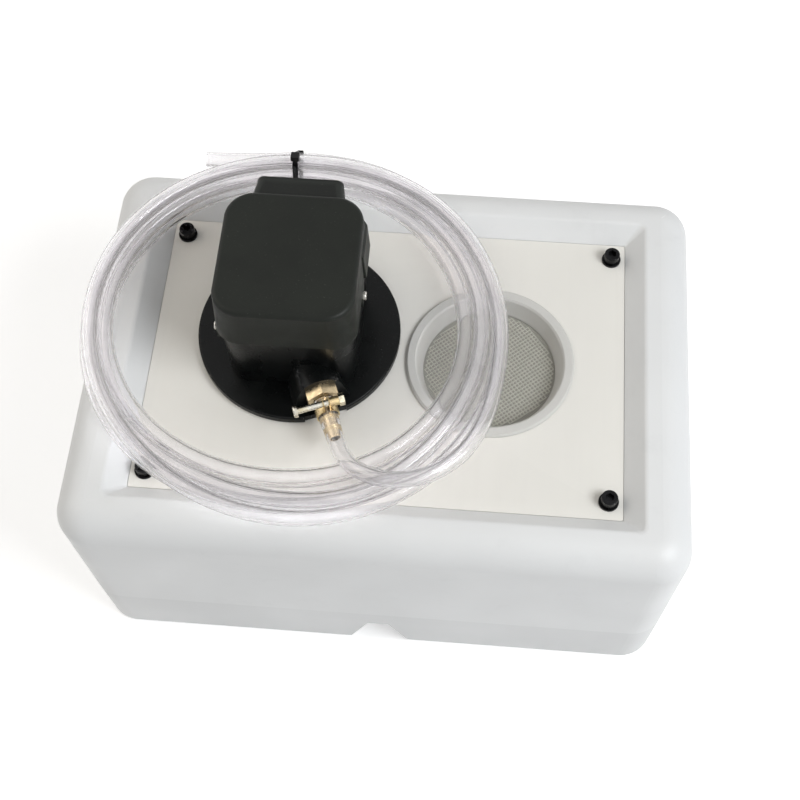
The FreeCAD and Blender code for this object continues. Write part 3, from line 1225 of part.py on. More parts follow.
def build_terminal_box():
    save("terminal_box", [terminal_box()], PUMP)
    save("terminal_lid", [terminal_lid()], PUMP)
    save("lid_screws", lid_screws(), PUMP)
    save("terminal_block", [terminal_block()], PUMP)
    save("terminal_screws", terminal_screws(), PUMP)
    save("gland_body", [gland_body()], PUMP)
    save("gland_nut", [gland_nut()], PUMP)
    save("gland_seal", [gland_seal()], PUMP)
    save("gland_locknut", [gland_locknut()], PUMP)


def build_hose():
    save("hose_barb", [hose_barb()], PUMP)
    save("hose_lead", [hose_lead()], PUMP)
    save("hose_coil", [hose_coil()])
    save("hose_tail", [hose_tail()])
    save("cable_tie", [cable_tie()])
    save("clamp_band", [clamp_band()], PUMP)
    save("clamp_screw", [clamp_screw()], PUMP)
    save("clamp_nut", [clamp_nut()], PUMP)
    save("clamp_barrel", [clamp_barrel()], PUMP)


os.makedirs("parts", exist_ok=True)
build_tank()
build_motor()
build_wet_end()
build_terminal_box()
build_hose()
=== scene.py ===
"""Dresses the coolant unit: hose, tie, finishes, floor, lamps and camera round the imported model."""

import json
import math

import bmesh
import bpy
from bpy.props import FloatProperty, FloatVectorProperty, PointerProperty
from mathutils import Matrix, Vector

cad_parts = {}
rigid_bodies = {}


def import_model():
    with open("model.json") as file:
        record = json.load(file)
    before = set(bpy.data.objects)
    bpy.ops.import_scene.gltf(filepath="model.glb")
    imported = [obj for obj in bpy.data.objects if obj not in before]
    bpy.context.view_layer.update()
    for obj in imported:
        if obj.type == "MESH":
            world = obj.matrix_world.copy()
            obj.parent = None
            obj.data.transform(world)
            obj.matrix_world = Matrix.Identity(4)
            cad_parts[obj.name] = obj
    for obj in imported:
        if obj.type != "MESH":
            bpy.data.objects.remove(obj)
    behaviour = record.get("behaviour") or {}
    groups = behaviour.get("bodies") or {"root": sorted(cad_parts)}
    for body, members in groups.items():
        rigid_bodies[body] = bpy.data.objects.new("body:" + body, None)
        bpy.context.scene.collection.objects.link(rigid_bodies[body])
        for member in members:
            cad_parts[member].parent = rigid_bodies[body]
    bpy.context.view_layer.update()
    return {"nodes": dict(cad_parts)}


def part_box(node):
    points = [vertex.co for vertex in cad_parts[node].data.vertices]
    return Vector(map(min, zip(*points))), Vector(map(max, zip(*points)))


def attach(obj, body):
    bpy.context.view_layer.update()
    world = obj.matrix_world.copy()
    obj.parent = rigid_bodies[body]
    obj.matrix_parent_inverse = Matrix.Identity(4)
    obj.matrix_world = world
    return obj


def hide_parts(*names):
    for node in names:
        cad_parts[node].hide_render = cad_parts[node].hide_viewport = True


bl_info = {
    "name": "Coolant unit",
    "version": (1, 0, 0),
    "blender": (4, 5, 0),
    "location": "3D View > Sidebar > Coolant unit",
    "description": "Adds the hose, tie and finishes of a tank-top coolant pump, and its stage",
    "category": "Add Mesh",
}

for leftover in list(bpy.data.objects):
    bpy.data.objects.remove(leftover)
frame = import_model()

MM = 0.001


def tone(red, green, blue):
    """Linear colour of a display colour given in 0 to 255, by the sRGB curve."""
    def linear(level):
        level /= 255.0
        return level / 12.92 if level <= 0.04045 else ((level + 0.055) / 1.055) ** 2.4
    return (linear(red), linear(green), linear(blue))


def shade(value, share):
    """A colour made lighter or darker by a share."""
    return tuple(min(1.0, part * share) for part in value)


# ---- Settings

def colour(name, about, red, green, blue):
    """Colour property with its default in display levels."""
    return FloatVectorProperty(name=name, description=about, subtype="COLOR", min=0, max=1,
                               default=tone(red, green, blue))


def number(name, about, value, **more):
    return FloatProperty(name=name, description=about, default=value, **more)


def length(name, about, value):
    return number(name, about, value, unit="LENGTH", precision=5)


class HoseSettings(bpy.types.PropertyGroup):
    outside: length("Outside", "Outside diameter of the hose", 0.010)
    wall: length("Wall", "Thickness of the hose's wall", 0.0015)
    whole: length("Length", "Real length of the hose", 4.27)
    tint: colour("Tint", "Colour of the clear wall", 250, 249, 250)
    tie_width: length("Tie width", "Width of the cable tie's strap", 0.0035)
    tie_thickness: length("Tie thickness", "Thickness of the cable tie's strap", 0.0012)


class PlasticSettings(bpy.types.PropertyGroup):
    tank: colour("Tank", "Moulded tank", 227, 228, 228)
    plate: colour("Plate", "Cover plate", 223, 221, 215)
    strainer: colour("Strainer", "Strainer cup", 200, 199, 195)
    cloth: colour("Cloth", "Fine cloth of the strainer", 168, 167, 158)
    cover: colour("Motor cover", "Matte cover of the motor", 25, 28, 24)
    housing: colour("Housing", "Glossier housing and flange", 10, 12, 12)
    box: colour("Terminal box", "Box behind the motor", 24, 26, 24)


class MetalSettings(bpy.types.PropertyGroup):
    brass: colour("Brass", "Hexagon and barb of the outlet", 216, 196, 160)
    clamp: colour("Clamp", "Yellow passivated strip", 212, 196, 148)
    bright: colour("Bright steel", "Clamp screw, nut and small screws", 205, 203, 196)
    dark: colour("Black steel", "Plate screws", 30, 30, 31)


class StageSettings(bpy.types.PropertyGroup):
    floor: colour("Floor", "Floor under the unit", 236, 236, 236)
    key: number("Key", "Power of the cool lamp at the right", 16.5, unit="POWER")
    fill: number("Fill", "Power of the warm lamp at the left", 6.0, unit="POWER")
    sky: number("Sky", "Strength of the even light from all sides", 0.38)
    glow: number("Glow", "White that the camera sees on top of the floor", 0.45)


# ---- Finishes

# Places of the sockets of the colour mix node, which has several of each name
MIX_FACTOR, MIX_FIRST, MIX_SECOND = 0, 6, 7
MIX_RESULT = 2
# A flat face has a pointiness of 0.5
EDGE_START, EDGE_END = 0.53, 0.60


class Finish:
    """One material: a Principled shader fed by patterns in Object coordinates."""

    def __init__(self, name, **values):
        self.material = bpy.data.materials.new(name)
        self.material.use_nodes = True
        self.tree = self.material.node_tree
        self.shader = self.tree.nodes["Principled BSDF"]
        self.place = self.add("ShaderNodeTexCoord").outputs["Object"]
        self.feed(self.shader, **values)

    def add(self, kind, **settings):
        node = self.tree.nodes.new(kind)
        for name, value in settings.items():
            setattr(node, name, value)
        return node

    def join(self, socket, source):
        """Sets an input to a value, or joins it to an output."""
        if isinstance(source, bpy.types.NodeSocket):
            self.tree.links.new(source, socket)
        else:
            socket.default_value = source

    def feed(self, node, **sources):
        """Sets or joins a node's inputs by their names."""
        for name, source in sources.items():
            self.join(node.inputs[name.replace("_", " ")], source)
        return node

    def mapped(self, stretch=(1, 1, 1), turn=(0, 0, 0)):
        """Coordinates turned and stretched."""
        node = self.add("ShaderNodeMapping")
        return self.feed(node, Vector=self.place, Rotation=turn, Scale=stretch).outputs["Vector"]

    def noise(self, scale, detail=3.0, roughness=0.5, stretch=(1, 1, 1)):
        node = self.add("ShaderNodeTexNoise")
        self.feed(node, Vector=self.mapped(stretch), Scale=scale, Detail=detail,
                  Roughness=roughness)
        return node.outputs["Fac"]

    def level(self, factor, low, high, start=0.35, end=0.65):
        """Maps a pattern's middle range on to two values."""
        node = self.add("ShaderNodeMapRange")
        return self.feed(node, Value=factor, From_Min=start, From_Max=end, To_Min=low,
                         To_Max=high).outputs["Result"]

    def mix(self, factor, first, second):
        """Blend of two colours."""
        node = self.add("ShaderNodeMix", data_type="RGBA")
        self.join(node.inputs[MIX_FACTOR], factor)
        for index, source in ((MIX_FIRST, first), (MIX_SECOND, second)):
            is_pattern = isinstance(source, bpy.types.NodeSocket)
            self.join(node.inputs[index], source if is_pattern else (*source, 1.0))
        return node.outputs[MIX_RESULT]

    def product(self, first, second):
        node = self.add("ShaderNodeMath", operation="MULTIPLY")
        for socket, source in zip(node.inputs, (first, second)):
            self.join(socket, source)
        return node.outputs[0]

    def bump(self, height, depth, below=None):
        """Relief of the given depth in metres, on top of another one."""
        node = self.feed(self.add("ShaderNodeBump"), Height=height, Distance=depth)
        if below is not None:
            self.feed(node, Normal=below)
        return node.outputs["Normal"]

    def edges(self, strength):
        """Pattern that has the given strength on outer edges and is 0 elsewhere."""
        pointiness = self.add("ShaderNodeNewGeometry").outputs["Pointiness"]
        return self.product(self.level(pointiness, 0, 1, EDGE_START, EDGE_END), strength)

    def finish(self, base, roughness, normal):
        self.feed(self.shader, Base_Color=base, Roughness=roughness, Normal=normal)
        return self.material

    def join_shader(self, kind, other):
        """Mixes or adds another shader to the main one, and gives the node that does it."""
        both = self.add(kind)
        self.join(both.inputs[-2], self.shader.outputs[0])
        self.join(both.inputs[-1], other.outputs[0])
        self.feed(self.tree.nodes["Material Output"], Surface=both.outputs[0])
        return both


CLOUD_DARK, CLOUD_LIGHT = 0.975, 1.02
# The share below the parting line is painted shade, not a tone of the plastic
SOILED, STREAKED, PAINTED_SHADE_BELOW_PARTING, WORN_AND_HIGHLIGHT_WHITE = 0.72, 0.9, 0.94, 1.12
PARTING_BLUR = 0.0004
WHITE_GRAIN, WHITE_WAVES = 0.00004, 0.0006


def moulded_white(name, value, roughness=(0.38, 0.52), streaks=False, parting=None):
    """Waxy moulded plastic with soft clouds, fine grain, a little soiling, and edges painted lighter,
    partly as wear and partly as a painted highlight.

    Below the height of the mould's parting line the wall is painted a shade darker, a painted shade
    of the lower band.
    """
    finish = Finish(name, Specular_IOR_Level=0.45, Subsurface_Weight=0.08,
                    Subsurface_Scale=0.004, Subsurface_Radius=(1.0, 0.95, 0.9))
    clouds = finish.noise(6.0, detail=4.0, roughness=0.55)
    base = finish.mix(finish.level(clouds, 0, 1), shade(value, CLOUD_DARK),
                      shade(value, CLOUD_LIGHT))
    dirt = finish.noise(38.0, detail=6.0, roughness=0.7)
    base = finish.mix(finish.level(dirt, low=0.0, high=0.16, start=0.56, end=0.78), base,
                      shade(value, SOILED))
    if streaks:
        along = finish.noise(90.0, roughness=0.6, stretch=(1, 0.06, 1))
        base = finish.mix(finish.level(along, low=0.0, high=0.35, start=0.45, end=0.7), base,
                          shade(value, STREAKED))
    if parting is not None:
        split = finish.feed(finish.add("ShaderNodeSeparateXYZ"), Vector=finish.place)
        # Painted shade: 1 below the parting line, where the wall is darkened as if in shade
        below = finish.level(split.outputs["Z"], 1, 0, start=parting - PARTING_BLUR,
                             end=parting + PARTING_BLUR)
        base = finish.mix(below, base, shade(value, PAINTED_SHADE_BELOW_PARTING))
    # Edges painted lighter: partly wear, partly a painted highlight
    base = finish.mix(finish.edges(0.6), base, shade(value, WORN_AND_HIGHLIGHT_WHITE))
    rough = finish.level(finish.noise(25.0), *roughness)
    waves = finish.bump(finish.noise(14.0, detail=2.0), WHITE_WAVES)
    grain = finish.bump(finish.noise(1400.0, detail=2.0), WHITE_GRAIN, waves)
    return finish.finish(base, rough, grain)


# The edge share is partly rubbing wear and partly a painted highlight of the bevels
PATCH_DARK, PATCH_LIGHT, WORN_AND_HIGHLIGHT_BLACK = 0.85, 1.15, 2.8
DUST = tone(120, 120, 112)
BLACK_SPREAD, BLACK_WAVES = 0.07, 0.0003


def moulded_black(name, value, roughness, grain, shine=0.2):
    """Dark plastic with moulded grain, dust, and edges painted lighter, partly as rubbing wear and
    partly as a painted highlight.
    """
    finish = Finish(name, Specular_IOR_Level=shine)
    clouds = finish.noise(30.0, detail=4.0, roughness=0.6)
    base = finish.mix(finish.level(clouds, 0, 1), shade(value, PATCH_DARK),
                      shade(value, PATCH_LIGHT))
    # Edges painted lighter: partly rubbing wear, partly a painted highlight of the bevels
    base = finish.mix(finish.edges(0.5), base, shade(value, WORN_AND_HIGHLIGHT_BLACK))
    dust = finish.noise(900.0, detail=2.0, roughness=0.7)
    base = finish.mix(finish.level(dust, low=0.0, high=0.16, start=0.66, end=0.78), base, DUST)
    rough = finish.level(finish.noise(60.0, detail=4.0), low=roughness - BLACK_SPREAD,
                         high=roughness + BLACK_SPREAD)
    waves = finish.bump(finish.noise(22.0, detail=2.0), BLACK_WAVES)
    return finish.finish(base, rough, finish.bump(finish.noise(1800.0, detail=2.0), grain, waves))


METAL_PATCH_SCALE = 160.0
METAL_SMOOTHER, METAL_ROUGHER = 0.08, 0.1
METAL_MARKS, WORN_METAL = 0.00002, 1.15


def plated(name, value, other, roughness=0.28):
    """Plated or machined metal with patches of a second tint and fine marks."""
    finish = Finish(name, Metallic=1.0)
    patches = finish.noise(METAL_PATCH_SCALE, detail=5.0, roughness=0.6)
    base = finish.mix(finish.level(patches, 0, 1), value, other)
    base = finish.mix(finish.edges(0.5), base, shade(value, WORN_METAL))
    rough = finish.level(finish.noise(METAL_PATCH_SCALE * 2.5), low=roughness - METAL_SMOOTHER,
                         high=roughness + METAL_ROUGHER)
    marks = finish.noise(2600.0, detail=2.0, stretch=(1, 1, 0.1))
    return finish.finish(base, rough, finish.bump(marks, METAL_MARKS))


THREAD = 0.0006
THREAD_RELIEF = 0.00012
THREAD_TURN = math.radians(45)
# Radians that a wave texture of scale 1 runs through in a metre
WAVE_RATE = 20
GAP_DARK, THREAD_LIGHT, STAINED = 0.72, 1.25, 0.82


def woven(name, value):
    """Fine square weave with lighter threads, darker gaps and stains from the coolant."""
    finish = Finish(name, Specular_IOR_Level=0.3)
    waves = []
    for turn in (THREAD_TURN, -THREAD_TURN):
        wave = finish.add("ShaderNodeTexWave", wave_type="BANDS", bands_direction="X")
        finish.feed(wave, Vector=finish.mapped(turn=(0, 0, turn)),
                    Scale=math.pi / (THREAD * WAVE_RATE), Distortion=0.3)
        waves.append(wave.outputs["Fac"])
    crossing = finish.product(*waves)
    base = finish.mix(crossing, shade(value, GAP_DARK), shade(value, THREAD_LIGHT))
    stains = finish.noise(28.0, detail=4.0, roughness=0.6)
    base = finish.mix(finish.level(stains, low=0.0, high=0.6), base, shade(value, STAINED))
    rough = finish.level(finish.noise(80.0), low=0.45, high=0.65)
    return finish.finish(base, rough, finish.bump(crossing, THREAD_RELIEF))


HAZE_DARK = 0.96
CLEAR_WAVES = 0.00002
SHADOW_TINT = (0.97, 0.968, 0.97, 1)


def clear_wall(name, value):
    """Clear soft plastic that lets lamps through to what lies behind it."""
    finish = Finish(name, Transmission_Weight=0.95, IOR=1.38, Specular_IOR_Level=0.5)
    haze = finish.level(finish.noise(45.0), 0, 1)
    base = finish.mix(haze, shade(value, HAZE_DARK), value)
    rough = finish.level(finish.noise(120.0), low=0.03, high=0.10)
    finish.finish(base, rough, finish.bump(finish.noise(260.0, detail=2.0), CLEAR_WAVES))
    through = finish.feed(finish.add("ShaderNodeBsdfTransparent"), Color=SHADOW_TINT)
    both = finish.join_shader("ShaderNodeMixShader", through)
    is_shadow = finish.add("ShaderNodeLightPath").outputs["Is Shadow Ray"]
    finish.feed(both, Fac=is_shadow)
    return finish.material


def dress(material, *nodes):
    """Gives a finish to frame nodes."""
    for name in nodes:
        for part in frame["nodes"][name].material_slots:
            part.material = material


def mesh_from(name, shape):
    """Turns a bmesh into a mesh and frees it."""
    mesh = bpy.data.meshes.new(name)
    shape.to_mesh(mesh)
    shape.free()
    return mesh


def new_piece(name, shape, material, body, smooth=False):
    """Adds a bmesh as a finished piece that rides on a body."""
    piece = bpy.data.objects.new(name, mesh_from(name, shape))
    bpy.context.scene.collection.objects.link(piece)
    piece.data.materials.append(material)
    for face in piece.data.polygons:
        face.use_smooth = smooth
    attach(piece, body)
    return piece


# ---- Hose: all measures of its route are in millimetres, and heights count from the plate

PLATE_TOP = 163.0
PUMP_AXIS = Vector((-57.7, 16.5, 0.0))
OUTLET_WAY = Vector((0.3665, -0.9304, 0.0))
OUTLET_HEIGHT = 20.0
LEAD_DISTANCES = (63.1, 73.6, 84.1)
LEAD_BEND = (
    (-20.5, -78.4, 22.6), (-8.7, -91.0, 28.6), (7.8, -97.3, 33.2),
    (26.0, -96.2, 35.1), (42.2, -87.7, 34.8), (57.2, -71.1, 33.8),
)
COIL_CENTRE = (-62.5, 13.5)
FIRST_ANGLE = -22.5
STATION_STEP = 22.5
# Radius and height of the hose's middle at each station, a quarter turn to a line
TURNS = (
    (139.1, 33.0), (132.3, 34.0), (126.2, 34.6), (121.1, 35.2),
    (115.2, 36.0), (110.9, 36.5), (113.1, 36.1), (117.4, 35.7),
    (120.8, 35.4), (122.4, 35.2), (123.3, 35.0), (125.5, 33.2),
    (130.2, 28.6), (133.2, 20.4), (136.2, 17.5), (137.8, 19.2),
    (137.2, 22.9), (132.9, 24.2), (129.0, 24.9), (125.9, 26.3),
    (121.0, 27.8), (117.5, 28.9), (119.6, 28.2), (123.1, 27.1),
    (125.4, 26.2), (125.6, 25.5), (124.3, 25.0), (122.0, 23.9),
    (119.4, 24.0), (123.3, 26.1), (128.0, 22.9), (125.7, 22.6),
    (123.1, 24.6), (121.2, 24.2), (118.8, 24.4), (115.6, 25.0),
    (111.0, 25.8), (107.9, 26.0), (109.8, 26.2), (113.1, 26.5),
    (115.1, 26.7), (115.6, 26.4), (114.3, 25.5), (112.0, 23.3),
    (107.9, 19.3), (104.5, 13.6), (105.4, 10.6), (109.5, 13.2),
    (111.3, 14.8), (111.1, 14.3), (110.2, 14.4), (109.6, 15.2),
    (108.7, 16.0), (109.4, 16.0), (112.0, 16.3), (114.8, 16.6),
    (117.0, 16.8), (118.1, 16.7), (118.0, 16.2), (116.8, 14.5),
    (114.9, 12.1), (113.9, 9.9), (115.4, 9.8), (119.5, 13.0),
    (121.3, 14.8), (121.1, 14.3), (120.4, 14.4), (119.8, 16.0),
    (118.6, 15.7), (118.9, 14.0), (121.9, 14.6), (124.9, 16.9),
    (127.3, 16.1), (128.1, 15.8), (128.2, 15.7), (127.4, 15.5),
    (125.5, 15.5), (123.6, 16.5), (124.9, 13.9), (129.5, 13.9),
    (131.3, 14.8), (131.2, 14.3), (130.5, 14.7), (129.7, 16.9),
    (127.2, 19.9), (124.0, 21.5),
)
TAIL = ((-99.0, 134.9, 21.6), (-133.0, 134.4, 21.2))
# Widths at the first points, where the barb stretches the hose
SWELL = (1.28, 1.28, 1.12)
CURVE_STEPS = 10
SECTION_RINGS = 9
MERGE_DISTANCE = 0.000001


def coil_points():
    """Control points of the coil, pushed out because the spline cuts inside them."""
    outward = 1 / math.cos(math.radians(STATION_STEP / 2))
    points = []
    for index, (radius, height) in enumerate(TURNS):
        angle = math.radians(FIRST_ANGLE + index * STATION_STEP)
        points.append(Vector((COIL_CENTRE[0] + outward * radius * math.cos(angle),
                              COIL_CENTRE[1] + outward * radius * math.sin(angle), height)))
    return points


def hose_route():
    """Control points of the hose, and its width at each as a share of the diameter."""
    straight = [PUMP_AXIS + OUTLET_WAY * distance + Vector((0, 0, OUTLET_HEIGHT))
                for distance in LEAD_DISTANCES]
    bend = [Vector(point) for point in LEAD_BEND]
    tail = [Vector(point) for point in TAIL]
    points = straight + bend + coil_points() + tail
    return points, [*SWELL] + [1.0] * (len(points) - len(SWELL))


def hose_curve(name, outside, rings):
    """The route as one NURBS spline, with or without a round section."""
    points, widths = hose_route()
    data = bpy.data.curves.new(name, "CURVE")
    data.dimensions = "3D"
    data.resolution_u = CURVE_STEPS
    data.bevel_depth = outside / 2
    data.bevel_resolution = rings
    spline = data.splines.new("NURBS")
    spline.points.add(len(points) - 1)
    for place, point, width in zip(spline.points, points, widths):
        place.co = (*(MM * (point + Vector((0, 0, PLATE_TOP)))), 1.0)
        place.radius = width
    spline.order_u = 3
    spline.use_endpoint_u = True
    return data


def curve_mesh(data):
    """Mesh of a curve, made through an object that isn't kept."""
    holder = bpy.data.objects.new("holder", data)
    bpy.context.scene.collection.objects.link(holder)
    bpy.context.view_layer.update()
    mesh = bpy.data.meshes.new_from_object(holder)
    bpy.data.objects.remove(holder)
    return mesh


def hose_path():
    """Points along the middle of the hose."""
    mesh = curve_mesh(hose_curve("hose_line", 0.0, 0))
    return [tuple(point.co) for point in mesh.vertices]


def hose_shell(outside):
    """Open tube along the route, its end edges sharp so that they don't bend the light."""
    tube = curve_mesh(hose_curve("hose_tube", outside, SECTION_RINGS))
    shell = bmesh.new()
    shell.from_mesh(tube)
    bpy.data.meshes.remove(tube)
    bmesh.ops.remove_doubles(shell, verts=shell.verts, dist=MERGE_DISTANCE)
    bmesh.ops.recalc_face_normals(shell, faces=shell.faces)
    for edge in shell.edges:
        edge.smooth = not edge.is_boundary
    return shell


class UNIT_OT_hose(bpy.types.Operator):
    """Add the clear hose: lead from the barb, loose coil and free end"""
    bl_idname = "coolant_unit.hose"
    bl_label = "Hose"

    def execute(self, context):
        settings = context.scene.coolant_hose
        hose = new_piece("hose", hose_shell(settings.outside),
                         clear_wall("hose_clear", settings.tint), "tank", smooth=True)
        wall = hose.modifiers.new("wall", "SOLIDIFY")
        wall.thickness = settings.wall
        wall.offset = -1
        wall.use_even_offset = True
        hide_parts("hose_lead", "hose_coil", "hose_tail")
        path = hose_path()
        black = moulded_black("tie_black", TIE_TONE, roughness=0.38, grain=0.00003)
        tie = new_piece("hose_tie", tie_shape(path, settings), black, "tank")
        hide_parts("cable_tie")
        return {"FINISHED"}


# ---- Cable tie

TIE_X = -0.070
TIE_GAP = 0.0002
TIE_SEGMENTS = 32
TIE_TONE = tone(20, 20, 21)
COIL_BACK = 0.1
# Faces of the hull that look along x, which close the strap's sides, have more than this
SIDE_NORMAL = 0.9
HEAD_SIZE = Vector((0.0056, 0.0054, 0.0042))
HEAD_BEVEL = 0.0006
HEAD_FORWARD = 0.001
HEAD_SINK = 0.0014
END_SIZE = Vector((0.0032, 0.0018, 0.0011))
END_BEVEL = 0.0003
END_SINK = 0.0008


def strands_at(path, x):
    """Middles of the strands where the coil's back crosses a plane."""
    found = []
    for before, after in zip(path, path[1:]):
        crosses = (before[0] - x) * (after[0] - x) <= 0 and before[0] != after[0]
        if crosses and before[1] > COIL_BACK:
            share = (x - before[0]) / (after[0] - before[0])
            found.append(Vector(before).lerp(Vector(after), share))
    return found


def add_box(shape, size, middle, bevel):
    """Adds a box with rounded edges to a bmesh."""
    made = bmesh.ops.create_cube(
        shape, size=1, matrix=Matrix.Translation(middle) @ Matrix.Diagonal((*size, 1)))
    edges = list({edge for vertex in made["verts"] for edge in vertex.link_edges})
    bmesh.ops.bevel(shape, geom=edges, offset=bevel, offset_type="OFFSET", segments=2,
                    profile=0.5, affect="EDGES", material=-1)


def tie_shape(path, settings):
    """Strap pulled tight round the strands, its head on their top and its cut end behind it."""
    shape = bmesh.new()
    radius = settings.outside / 2 + TIE_GAP
    across = Matrix.Rotation(math.pi / 2, 4, "Y")
    for middle in strands_at(path, TIE_X):
        bmesh.ops.create_cone(shape, cap_ends=True, segments=TIE_SEGMENTS, radius1=radius,
                              radius2=radius, depth=settings.tie_width,
                              matrix=Matrix.Translation(middle) @ across)
    hull = bmesh.ops.convex_hull(shape, input=shape.verts)
    inner = [item for item in hull["geom_interior"] + hull["geom_unused"]
             if isinstance(item, bmesh.types.BMVert)]
    bmesh.ops.delete(shape, geom=inner, context="VERTS")
    shape.normal_update()
    sides = [face for face in shape.faces if abs(face.normal.x) > SIDE_NORMAL]
    bmesh.ops.delete(shape, geom=sides, context="FACES")
    loose = [vertex for vertex in shape.verts if not vertex.link_faces]
    bmesh.ops.delete(shape, geom=loose, context="VERTS")
    bmesh.ops.recalc_face_normals(shape, faces=shape.faces)
    bmesh.ops.solidify(shape, geom=shape.faces[:], thickness=-settings.tie_thickness)
    top = max((vertex.co for vertex in shape.verts), key=lambda place: place.z)
    head = Vector((TIE_X, top.y - HEAD_FORWARD, top.z + HEAD_SIZE.z / 2 - HEAD_SINK))
    behind = Vector((0, (HEAD_SIZE.y + END_SIZE.y) / 2 - END_SINK, 0))
    add_box(shape, HEAD_SIZE, head, HEAD_BEVEL)
    add_box(shape, END_SIZE, head + behind, END_BEVEL)
    return shape


# ---- Strainer

CLOTH_THICK = 0.0004
CLOTH_SEGMENTS = 96
LATTICE_PITCH = 0.0023
LATTICE_BAR = 0.0007
LATTICE_TURN = math.radians(38.0)
LATTICE_LIGHT = 1.7


def cloth_shape(middle, radius, bottom):
    """Thin round disc."""
    shape = bmesh.new()
    place = Matrix.Translation((middle.x, middle.y, bottom + CLOTH_THICK / 2))
    bmesh.ops.create_cone(shape, cap_ends=True, segments=CLOTH_SEGMENTS, radius1=radius,
                          radius2=radius, depth=CLOTH_THICK, matrix=place)
    return shape


def lattice_shape(middle, radius, bottom):
    """Square lattice of bars within a circle."""
    shape = bmesh.new()
    count = int(2 * radius / LATTICE_PITCH)
    bmesh.ops.create_grid(shape, x_segments=count, y_segments=count,
                          size=count * LATTICE_PITCH / 2,
                          matrix=Matrix.Rotation(LATTICE_TURN, 4, "Z"))
    outer = [face for face in shape.faces
             if face.calc_center_median().length > radius - LATTICE_PITCH]
    bmesh.ops.delete(shape, geom=outer, context="FACES")
    bmesh.ops.wireframe(shape, faces=shape.faces[:], thickness=LATTICE_BAR, use_replace=True,
                        use_boundary=True, use_even_offset=True)
    bmesh.ops.translate(shape, verts=shape.verts[:],
                        vec=(middle.x, middle.y, bottom + LATTICE_BAR / 2))
    return shape


class UNIT_OT_strainer(bpy.types.Operator):
    """Finish the strainer cup, and add its cloth and lattice"""
    bl_idname = "coolant_unit.strainer"
    bl_label = "Strainer"

    def execute(self, context):
        plastic = context.scene.coolant_plastic
        dress(moulded_white("strainer_moulded", plastic.strainer), "strainer_cup")
        low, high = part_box("strainer_mesh")
        middle = (Vector(low) + Vector(high)) / 2
        radius = (high[0] - low[0]) / 2
        cloth = new_piece("strainer_cloth", cloth_shape(middle, radius, low[2]),
                          woven("cloth_woven", plastic.cloth), "strainer")
        new_piece("strainer_lattice", lattice_shape(middle, radius, low[2] + CLOTH_THICK),
                  woven("lattice_moulded", shade(plastic.cloth, LATTICE_LIGHT)), "strainer")
        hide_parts("strainer_mesh")
        return {"FINISHED"}


# ---- Finishes of the frame's nodes

PARTING_HEIGHT = 0.056


class UNIT_OT_tank(bpy.types.Operator):
    """Finish the tank, its cover plate and their fasteners"""
    bl_idname = "coolant_unit.tank"
    bl_label = "Tank and plate"

    def execute(self, context):
        plastic, metal = context.scene.coolant_plastic, context.scene.coolant_metal
        dress(moulded_white("tank_wax", plastic.tank, parting=PARTING_HEIGHT), "tank_shell")
        dress(moulded_white("plate_sheet", plastic.plate, streaks=True, roughness=(0.45, 0.6)),
              "cover_plate")
        dress(plated("screw_oxide", metal.dark, shade(metal.dark, 1.6)),
              "plate_screws", "plate_washers", "shaft_circlip")
        dress(plated("insert_brass", metal.brass, shade(metal.brass, 0.8)),
              "plate_inserts", "terminal_screws")
        return {"FINISHED"}


class UNIT_OT_motor(bpy.types.Operator):
    """Finish the motor's outside, the terminal box and cable gland, the seals and small screws"""
    bl_idname = "coolant_unit.motor"
    bl_label = "Motor"

    def execute(self, context):
        plastic, metal = context.scene.coolant_plastic, context.scene.coolant_metal
        dress(moulded_black("cover_matte", plastic.cover, roughness=0.46, grain=0.00005),
              "motor_cover")
        dress(moulded_black("housing_gloss", plastic.housing, roughness=0.3, grain=0.00002,
                            shine=0.16), "motor_housing")
        dress(moulded_black("box_matte", plastic.box, roughness=0.5, grain=0.00006),
              "terminal_box", "terminal_lid")
        dress(moulded_black("gland_black", tone(26, 26, 27), roughness=0.36, grain=0.00003),
              "gland_body", "gland_nut", "gland_locknut")
        dress(moulded_white("block_moulded", plastic.plate), "terminal_block")
        dress(moulded_black("seal_rubber", tone(24, 24, 24), roughness=0.7, grain=0.00006),
              "gland_seal", "flange_gasket", "riser_o_rings", "shaft_seal", "slinger")
        dress(plated("screw_bright", metal.bright, shade(metal.bright, 0.85), roughness=0.26),
              "side_screws", "lid_screws", "flange_screws", "bracket_screws", "column_screws",
              "suction_screws", "impeller_nut")
        return {"FINISHED"}


class UNIT_OT_outlet(bpy.types.Operator):
    """Finish the brass barb and the hose clamp"""
    bl_idname = "coolant_unit.outlet"
    bl_label = "Outlet and clamp"

    def execute(self, context):
        metal = context.scene.coolant_metal
        dress(plated("outlet_brass", metal.brass, shade(metal.brass, 0.85), roughness=0.3),
              "hose_barb")
        dress(plated("clamp_zinc", metal.clamp, tone(206, 170, 140), roughness=0.32),
              "clamp_band", "clamp_barrel")
        dress(plated("clamp_steel", tone(206, 196, 168), metal.bright, roughness=0.26),
              "clamp_screw", "clamp_nut")
        return {"FINISHED"}


